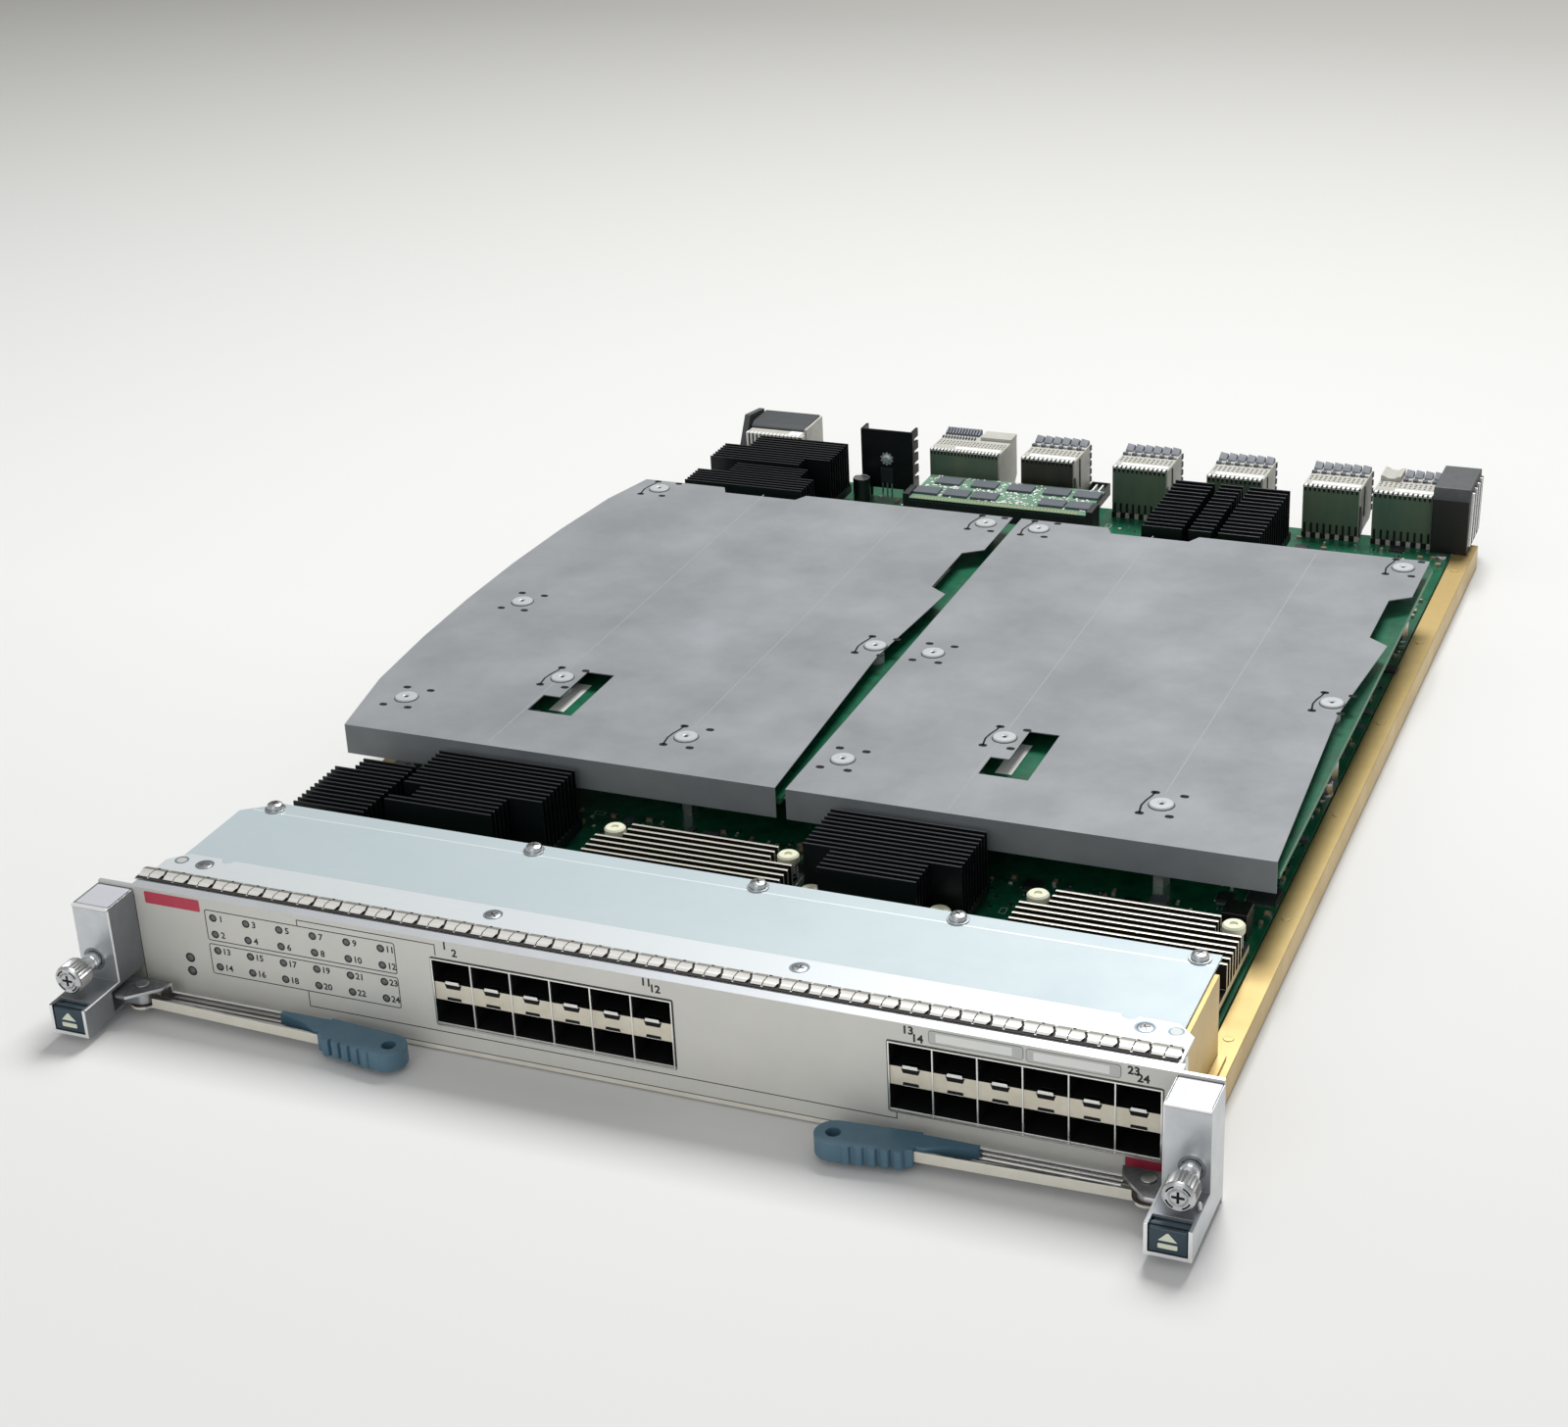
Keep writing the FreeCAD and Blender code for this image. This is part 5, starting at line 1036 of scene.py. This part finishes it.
boardParts = {
    "top": 10.0, "seed": 7, "margin": 1.4, "tries": 5, "sizeSpread": 0.12, "printCount": 70,
    "cans": 12, "coils": 10,
    # each zone: its x, its y and the share of tries that it keeps
    "zones": (((-171.0, 171.0), (60.0, 133.0), 1.0), ((-171.0, 171.0), (404.0, 489.0), 1.0),
              ((150.0, 172.0), (140.0, 402.0), 1.0), ((-172.0, -160.0), (140.0, 402.0), 0.6),
              ((-150.0, 150.0), (134.0, 150.0), 0.5)),
    "blockers": ("front_centre_heatsink", "left_phy_heatsink", "right_phy_heatsink", "rear_centre_heatsink",
                 "memory_socket", "memory_module", "regulator_heatsink"),
    "kept": ((-168, -78, 77, 133), (-166, -106, 416, 482), (-102, -93, 473, 484), (160, 170, 130, 141),
             (-168, 173, 61, 67)),
    # each kind of chip: half width, height, how many, legs on a side, finish
    "chips": {
        "large-chips": (5.2, 1.5, 9, 12, "chipBlack"), "medium-chips": (3.0, 1.2, 26, 8, "chipBlack"),
        "small-chips": (1.5, 0.9, 60, 4, "chipGrey"),
    },
    # each kind of small block: half sizes, height, how many, finish
    "bits": {
        "tan-blocks": (1.0, 0.6, 1.1, 220, "ceramic"), "pale-blocks": (0.8, 0.45, 0.5, 240, "whiteNylon"),
        "dark-blocks": (0.8, 0.4, 0.4, 260, "chipBlack"), "bright-pads": (0.45, 0.45, 0.08, 500, "tinLead"),
    },
}


def buildBoardParts():
    chance = random.Random(boardParts["seed"])
    taken = list(boardParts["kept"])
    for node in boardParts["blockers"]:
        low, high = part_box(node)
        taken.append((low.x / mm, high.x / mm, low.y / mm, high.y / mm))

    def scatter(count, halfX, halfY):
        # places that keep clear of each other and of what already stands there
        spots = []
        for _ in range(count * boardParts["tries"]):
            (x0, x1), (y0, y1), share = chance.choice(boardParts["zones"])
            x = chance.uniform(x0, x1)
            y = chance.uniform(y0, y1)
            turn = chance.choice((0, 90))
            u, v = (halfX, halfY) if turn == 0 else (halfY, halfX)
            u += boardParts["margin"] * 0.5
            v += boardParts["margin"] * 0.5
            if chance.random() > share or any(x + u > a and x - u < b and y + v > c and y - v < d
                                              for a, b, c, d in taken):
                continue
            taken.append((x - u, x + u, y - v, y + v))
            spots.append((x, y, boardParts["top"], turn, (1, 1, 1)))
            if len(spots) == count:
                break
        return spots

    def legs(half, count, reach=0.7, tall=0.35):
        # a row of legs on each of the four sides of a chip
        step = half * 1.7 / count
        rows = []
        for i in range(count):
            place = -half * 0.85 + step * (i + 0.5)
            along = (place - step * 0.22, place + step * 0.22)
            for out in ((-half - reach, -half), (half, half + reach)):
                rows += [(block, along, out, (0, tall)), (block, out, along, (0, tall))]
        return rows

    # electrolytic cans and square coils take their places first
    can = [(0, 0), (3.0, 0), (3.0, 0.9), (2.6, 1.2), (2.8, 1.5), (2.8, 5.6), (2.5, 6.0), (0, 6.0)]
    repeat("cans", [(lathe, can, 20)], scatter(boardParts["cans"], 3, 3), "foil")
    repeat("coils", [(block, (-3.0, 3.0), (-3.0, 3.0), (0, 3.4))], scatter(boardParts["coils"], 3, 3),
           "chipGrey", (0.5, 2))
    for name, (half, tall, count, legCount, material) in boardParts["chips"].items():
        spots = scatter(count, half + 1, half + 1)
        repeat(name, [(block, (-half, half), (-half, half), (0, tall))], spots, material,
               (0.12, 1))
        repeat(name + "-legs", legs(half, legCount), spots, "tinLead")
    spread = boardParts["sizeSpread"]
    for name, (x, y, z, count, material) in boardParts["bits"].items():
        spots = scatter(count, x + 0.5, y)
        repeat(name, [(block, (-x, x), (-y, y), (0, z))], spots, material, sizeSpread=spread)
        if name.endswith("blocks"):
            ends = [(block, end, (-y - 0.05, y + 0.05), (0, z + 0.04))
                    for end in ((-x - 0.3, -x + 0.15), (x - 0.15, x + 0.3))]
            repeat(name + "-ends", ends, spots, "tinLead", sizeSpread=spread)
    # outlines printed in white
    level = (-0.02, 0.03)
    box = [(block, x, (-1.2, 1.2), level) for x in ((-2.0, -1.85), (1.85, 2.0))]
    box += [(block, (-2.0, 2.0), y, level) for y in ((-1.2, -1.05), (1.05, 1.2))]
    repeat("board-print", box, scatter(boardParts["printCount"], 2.2, 1.4), "whiteLabel")


buildBoardParts()
dress("capacitor_and_inductor", (0.3, 2), "sleeve")
print("stage: board parts")


memory = {
    "left": -70.0, "right": 15.0, "front": 457.0, "rear": 488.5, "top": 23.2, "chip": (6.0, 4.0),
    "tall": 1.1, "rows": ((480.5, (-58.0, -40.5, -23.0, -5.5, 9.0)),
                          (466.5, (-64.0, -49.5, -36.0, -3.5, 9.5))),
    "seed": 11, "bits": 420, "contactStep": 1.6,
}


def buildMemory():
    dress("memory_module", (0.15, 1), "paleMask", ("darkBoard", lambda centre, way: abs(way.z) < 0.7))
    dress("memory_socket", (0.25, 2), "blackNylon")
    top = memory["top"]
    u, v = memory["chip"]
    places = [(x, y, top) for y, row in memory["rows"] for x in row]
    repeat("memory-chips", [(block, (-u, u), (-v, v), (0, memory["tall"]))], places, "slateChip",
           (0.15, 2))
    chance = random.Random(memory["seed"])
    spots = []
    for _ in range(memory["bits"]):
        x = chance.uniform(memory["left"] + 2, memory["right"] - 2)
        y = chance.uniform(memory["front"] + 4, memory["rear"] - 1.5)
        if all(abs(x - a) > u + 0.8 or abs(y - b) > v + 0.8 for a, b, _ in places):
            spots.append((x, y, top, chance.choice((0, 90)), (1, 1, 1)))
    repeat("memory-bits", [(block, (-0.6, 0.6), (-0.3, 0.3), (0, 0.35))], spots, "whiteLabel",
           sizeSpread=0.2)
    step = memory["contactStep"]
    contacts = [(memory["left"] + 3 + step * i, memory["front"] + 1.9, top)
                for i in range(int((memory["right"] - memory["left"] - 6) / step))]
    repeat("memory-contacts", [(block, (-0.35, 0.35), (-1.2, 1.2), (0, 0.05))], contacts, "goldSheet")


buildMemory()
print("stage: memory")


plugs = {
    "front": 491.5, "rear": 519.3, "foot": 10.0, "top": 34.5, "capTop": 36.95, "capStart": 514.0,
    "step": 508.6,
    # each connector: left edge, width and kind
    "places": ((-72.0, 34.5, "power"), (-27.0, 26.0, "dark"), (17.25, 26.0, "green"), (61.5, 26.0, "green"),
               (105.75, 26.0, "green"), (137.0, 27.0, "guided")),
    "first": (-167.0, 30.0), "header": ((0.0, 9.0), (491.0, 518.0), (10.0, 16.0)),
    # each kind of detail: finish and bevel
    "details": {
        "bodies": ("greyMoulding", (0.3, 2)), "wafers": ("waferGreen", None),
        "darkWafers": ("waferDark", None), "teeth": ("whiteNylon", None), "underTeeth": ("pit", None),
        "strips": ("whiteLabel", None), "notches": ("notchGrey", None), "caps": ("capMoulding", (0.15, 2)),
        "feet": ("greyMoulding", None), "darkFeet": ("pit", None), "slots": ("pit", None),
        "wedges": ("blackNylon", None), "blocks": ("greyMoulding", (0.3, 2)), "ribs": ("blackNylon", None),
    },
}


def buildPlugs():
    front = plugs["front"]
    rear = plugs["rear"]
    foot = plugs["foot"]
    top = plugs["top"]
    capTop = plugs["capTop"]
    capStart = plugs["capStart"]
    step = plugs["step"]
    shapes = {name: bmesh.new() for name in plugs["details"]}

    def box(name, x, y, z):
        block(shapes[name], x, y, z)

    def capStep(x0, x1, power):
        # one stepped cap at the rear edge, its right side lower
        shape = shapes["caps"]
        before = len(shape.verts)
        outline = [(capStart - 0.6, top - 0.5), (rear, top - 0.5), (rear, capTop - 1.0),
                   (rear - 1.2, capTop - 0.1), (capStart, top + 0.7)]
        plate(shape, outline, x0, x1, "yz")
        shape.verts.ensure_lookup_table()
        for corner in shape.verts[before:]:
            if corner.co.x > (x0 + x1) / 2 and corner.co.z > top:
                corner.co.z -= (x1 - x0) * 0.22 * 0.8
        split = x0 + (x1 - x0) * 0.62
        box("caps", (x0, split), (step, step + 2.0), (top - 0.2, top + 0.75))
        if not power:
            box("notches", (split, x1 + 0.3), (step + 0.2, step + 1.6), (top - 0.1, top + 0.08))

    for left, wide, kind in plugs["places"]:
        right = left + wide
        power = kind == "power"
        guided = kind == "guided"
        body = [(front + 0.7, foot + 2.2), (rear - 3.5, foot + 2.2), (rear - 0.4, foot + 5.5),
                (rear - 0.4, top - 0.4), (front + 0.7, top)]
        plate(shapes["bodies"], body, left, right, "yz")
        box("darkWafers" if kind == "dark" else "wafers", (left + 0.5, right - 0.7),
            (front + 0.25, front + 0.8), (foot + 2.4, top - 0.9))
        count = 20 if power else 12
        pitch = (wide - 0.8) / count
        for i in range(count):
            x = left + 0.4 + pitch * i
            box("teeth", (x + pitch * 0.14, x + pitch * 0.72), (front, front + 2.4), (top - 0.5, top + 0.28))
            box("underTeeth", (x + pitch * 0.2, x + pitch * 0.6), (front + 0.1, front + 0.4),
                (top - 2.3, top - 0.6))
        box("underTeeth", (left + 0.2, right - 0.2), (front + 0.3, front + 2.6), (top - 0.3, top + 0.06))
        start = left + wide * (0.33 if power or guided else 0.12)
        box("strips", (start, right - 1.0), (front + 3.6, front + 6.6), (top - 0.2, top + 0.12))
        slots = 5 if power else 9
        for i in range(slots):
            x = left + (wide * 0.3 if power else wide) * (i + 0.5) / slots
            box("slots", (x - 0.5, x + 0.5), (front + 0.15, front + 0.3), (foot + 2.6, foot + 7.0))
        for row in range(3):
            for i in range(count):
                x = left + 0.4 + pitch * (i + 0.5)
                box("notches", (x - pitch * 0.2, x + pitch * 0.2),
                    (front + 9.0 + row * 2.2, front + 9.6 + row * 2.2), (top - 0.1, top + 0.05))
        if power:
            spans = [(left + 0.5 + 1.45 * i, left + 0.5 + 1.45 * i + 0.95) for i in range(12)]
            box("blocks", (left + wide * 0.56, right), (step + 1.5, rear), (top - 0.5, top + 1.3))
        else:
            shift, number = (10.0, 4) if guided else (0.0, 6)
            capPitch = (wide - shift) / number
            spans = [(left + shift + capPitch * i + 0.2, left + shift + capPitch * i + capPitch * 0.86)
                     for i in range(number)]
        for x0, x1 in spans:
            capStep(x0, x1, power)
        for i in range(12):
            x = left + wide * i / 12
            box("feet" if i % 2 else "darkFeet", (x + 0.15, x + wide / 12 - 0.15),
                (front - 0.35, front + 3.0), (foot, foot + 2.3))
        if not power:
            box("ribs", (right - 0.1, right + 0.35), (front + 9.0, front + 10.2), (foot + 9.0, top - 1.5))
            wedge = [(front + 0.4, top - 8.0), (front + 2.2, top - 8.0), (front + 4.4, foot + 11.0),
                     (front + 7.0, foot + 4.2), (front + 5.5, foot + 2.3), (front + 0.4, foot + 2.3)]
            plate(shapes["wedges"], wedge, right - 0.2, right + 0.3, "yz")
            for i in range(5):
                z = foot + 5.6 + 3.9 * i
                box("caps", (right - 2.6, right + 0.45), (rear - 1.6, rear + 0.15), (z, z + 2.6))
    # first connector: tall grey hood behind beige teeth
    left, wide = plugs["first"]
    right = left + wide
    box("bodies", (left + 0.4, right - 0.4), (front + 1.0, rear - 8), (foot + 2.2, foot + 23.5))
    box("bodies", (right - 1.2, right), (front + 6.0, rear - 0.4), (foot + 2.0, capTop - 1.2))
    teeth = 14
    pitch = (wide - 2) / teeth
    for i in range(teeth):
        x = left + 0.6 + pitch * i
        box("teeth", (x + 0.3, x + pitch * 0.7), (front, front + 2.6), (foot + 14.0, foot + 24.0))
    box("underTeeth", (left + 0.5, right - 0.5), (front + 0.6, front + 1.4), (foot + 10, foot + 23.4))
    box("strips", (right - 8.5, right - 2.5), (front + 3.0, front + 8.0), (foot + 23.4, foot + 23.7))
    hood = [(front + 8.5, foot + 8.0), (rear, foot + 8.0), (rear, capTop - 0.8),
            (front + 12.0, capTop - 0.8), (front + 8.5, capTop - 2.6)]
    emit("first-hood", [(plate, hood, left, right - 1.4, "yz")], "darkMoulding",
         (0.4, 2))
    # M-shaped guide on the last connector
    left = plugs["places"][-1][0]
    z = top + 2.2
    guide = [(left + 0.4, top - 0.5), (left + 9.4, top - 0.5), (left + 9.4, z), (left + 8.2, z),
             (left + 6.4, z - 1.1), (left + 3.6, z - 1.1), (left + 1.6, z), (left + 0.4, z)]
    emit("guide-block", [(plate, guide, step - 1.0, rear, "xz")], "greyMoulding",
         (0.2, 2))
    for name, (material, bevel) in plugs["details"].items():
        emit("plug-" + name, shapes[name], material, bevel,
             stands=["backplane_connectors"] if name == "bodies" else [])
    (x0, x1), (y0, y1), (z0, z1) = plugs["header"]
    header = carve([(block, (x0, x1), (y0, y1), (z0, z1))],
                   [(block, (x0 + 0.8, x1 - 0.8), (y0 + 1.0, y1 - 1.0), (z0 + 2.0, z1 + 1))])
    emit("header", header, "blackNylon", (0.2, 2))
    bars = [(block, (x, x + 0.8), (y0 + 2.0, y1 - 2.0), (z0 + 2.0, z1 - 0.6)) for x in (x0 + 2.6, x0 + 5.6)]
    emit("header-bars", bars, "whiteNylon")


guides = {"slats": 4, "first": 489.5, "pitch": 6.6, "darkShift": 1.8, "sides": (179.8, 181.2)}


def buildGuides():
    dress("connector_guides", (0.35, 2), "guideBlack", ("guideTop", lambda centre, way: way.z > 0.4))
    # slanted slats on the outer side of the right guide: a painted highlight on each, with a black strip
    # beside it
    for name, material, shift in (("light", "highlightWhite", 0.0), ("dark", "guideBlack", guides["darkShift"])):
        slats = []
        for i in range(guides["slats"]):
            y = guides["first"] + guides["pitch"] * i + shift
            outline = [(y, 14.0), (y + 1.5, 14.0), (y + 5.6, 37.5), (y + 4.4, 37.5)]
            slats.append((plate, outline, *guides["sides"], "yz"))
        emit("guide-slats-" + name, slats, material, (0.1, 1))


regulator = {"centre": (-92.0, 0, 29.0), "legs": (-94.3, -92.0, -89.7), "can": (-101.5, 478.5, 0)}


def buildRegulator():
    dress("regulator_heatsink", (0.12, 2), "blackAnodised")
    centre = regulator["centre"]
    head = [(0, 486.2), (1.4, 486.2), (1.9, 486.7), (1.9, 487.6), (0, 487.6)]
    screw = [(plate, star(20, 2.5, 3.4, centre[0], centre[2]), 487.4, 488.1, "xz"),
             (lathe, head, 20, "y", centre)]
    emit("regulator-screw", screw, "whiteZinc")
    emit("regulator-device", [(block, (-95.2, -88.8), (487.0, 488.0), (17.0, 24.5))], "chipBlack",
         (0.2, 2))
    legs = [(block, (x - 0.4, x + 0.4), (487.3, 487.8), (10.0, 17.2)) for x in regulator["legs"]]
    emit("regulator-legs", legs, "tinLead")
    # top of the tall capacitor, with its rim
    lid = [(0, 21.5), (3.6, 21.5), (3.9, 21.8), (3.9, 22.15), (3.4, 22.2), (3.2, 22.05), (0, 22.05)]
    emit("capacitor-top", [(lathe, lid, 28, "z", regulator["can"])], "foil")


buildPlugs()
buildGuides()
buildRegulator()
print("stage: rear row")


tray = {
    "cornerScrews": ((170.0, 482.5, 0), (-168.0, 482.5, 0)), "rivetColumns": (-178.2, 178.2),
    "rivetRows": (70.0, 150.0, 230.0, 310.0, 390.0, 470.0), "flangeRod": (178.6, 13.5, 0),
    "hole": (181.0, 14.0, 0),
}


def buildTray():
    dress("carrier_tray", (0.4, 3), None,
          ("trayShade", lambda centre, way: way.z > 0.7 and centre.z < 6 and abs(centre.x) < 173))
    dress("side_brackets", (0.2, 2))
    for node in ("main_board", "left_forwarding_board", "right_forwarding_board"):
        dress(node, (0.15, 1), None, ("boardEdge", lambda centre, way: abs(way.z) < 0.5))
    rod = [(0, 10.0), (1.0, 10.0), (1.0, 38.0), (0.8, 38.4), (0, 38.4)]
    hole = [(0, 9.9), (1.2, 9.9), (1.2, 10.04), (0, 10.04)]
    screw = [(0, 9.8), (2.6, 9.8), (2.6, 10.9), (2.2, 11.6), (0, 11.8)]
    rivet = [(0, 9.9), (1.9, 9.9), (1.7, 10.25), (0, 10.3)]
    bothSides("flange-rod", [(lathe, rod, 16, "z", tray["flangeRod"])], "chrome")
    bothSides("flange-retainer", [(plate, rounded((180.9, 183.0), (10.1, 17.2), 1.0), 2.2, 3.3, "xz")],
              "highlightWhite", (0.2, 2))
    bothSides("flange-hole", [(lathe, hole, 18, "z", tray["hole"])], "pit")
    emit("corner-screws", [(lathe, screw, 22, "z", place) for place in tray["cornerScrews"]], "steel")
    rivets = [(lathe, rivet, 18, "z", (x, y, 0)) for x in tray["rivetColumns"] for y in tray["rivetRows"]]
    emit("flange-rivets", rivets, "goldSheet")


buildTray()
print("stage: tray")


studio = {
    "eye": (0.34946, -0.65976, 0.48156), "turnDegrees": (64.617, 2.606, 22.499), "lens": 63.087,
    "sensor": 36.0, "shift": (0.004, -0.0015), "floorColour": "#dededd", "wallShadeColour": "#9f9e99",
    "shadeFrom": 0.3, "shadeTo": 1.85, "floorFront": -3.0, "floorRear": 1.6, "curve": 0.8, "wallTop": 3.5,
    "halfWide": 4.5, "gap": 0.0005, "worldColour": "#f5f6f6", "worldStrength": 0.5, "aim": (0, 0.2, 0),
    # each lamp: place, size in metres and power in watts
    "lamps": {"key": ((0.05, 1.3, 1.8), 0.8, 45.0), "fill": ((-0.1, -1.9, 0.9), 1.2, 6.0)},
}


def paper():
    # white floor with painted shade that turns it warm grey up the wall
    material = finish("matte paper", studio["floorColour"], 0.9)
    tree = material.node_tree
    places = addNode(tree, "ShaderNodeTexCoord")
    parts = addNode(tree, "ShaderNodeSeparateXYZ", {}, {"Vector": (places, "Object")})
    climb = addNode(tree, "ShaderNodeMapRange",
                    {"From Min": studio["shadeFrom"], "From Max": studio["shadeTo"]}, {"Value": (parts, "Y")})
    colours = {"data_type": "RGBA", 6: linear(studio["floorColour"]), 7: linear(studio["wallShadeColour"])}
    mix = addNode(tree, "ShaderNodeMix", colours, {0: (climb, "Result")})
    tree.links.new(mix.outputs[2], tree.nodes["Principled BSDF"].inputs["Base Color"])
    return material


def buildStudio():
    eye = bpy.data.cameras.new("camera")
    eye.lens = studio["lens"]
    eye.sensor_width = studio["sensor"]
    eye.shift_x, eye.shift_y = studio["shift"]
    eye.clip_start = 0.05
    eye.clip_end = 50
    camera = placed("camera", eye)
    camera.location = studio["eye"]
    camera.rotation_euler = [math.radians(turn) for turn in studio["turnDegrees"]]
    bpy.context.scene.camera = camera
    # sweep: floor that curves up into a backdrop
    rear = studio["floorRear"]
    curve = studio["curve"]
    profile = [(studio["floorFront"], 0.0), (rear, 0.0)]
    profile += [(rear + curve * math.sin(a), curve - curve * math.cos(a))
                for a in [i * math.pi / 24 for i in range(1, 13)]]
    profile.append((rear + curve, studio["wallTop"]))
    mesh = bpy.data.meshes.new("sweep")
    half = studio["halfWide"]
    points = [(x, y, z - studio["gap"]) for x in (-half, half) for y, z in profile]
    count = len(profile)
    mesh.from_pydata(points, [], [(i, count + i, count + i + 1, i + 1) for i in range(count - 1)])
    floor = placed("sweep", mesh)
    for face in mesh.polygons:
        face.use_smooth = True
    mesh.materials.append(paper())
    world = bpy.data.worlds.new("softRoom")
    world.use_nodes = True
    world.node_tree.nodes["Background"].inputs["Color"].default_value = linear(studio["worldColour"])
    world.node_tree.nodes["Background"].inputs["Strength"].default_value = studio["worldStrength"]
    bpy.context.scene.world = world
    for name, (place, size, power) in studio["lamps"].items():
        lamp = bpy.data.lights.new(name, "AREA")
        lamp.energy = power
        lamp.size = size
        holder = placed(name, lamp)
        holder.location = place
        holder.rotation_euler = (Vector(studio["aim"]) - Vector(place)).to_track_quat("-Z", "Y").to_euler()
    bpy.context.scene.view_settings.view_transform = "Standard"


buildStudio()
print("stage: studio")
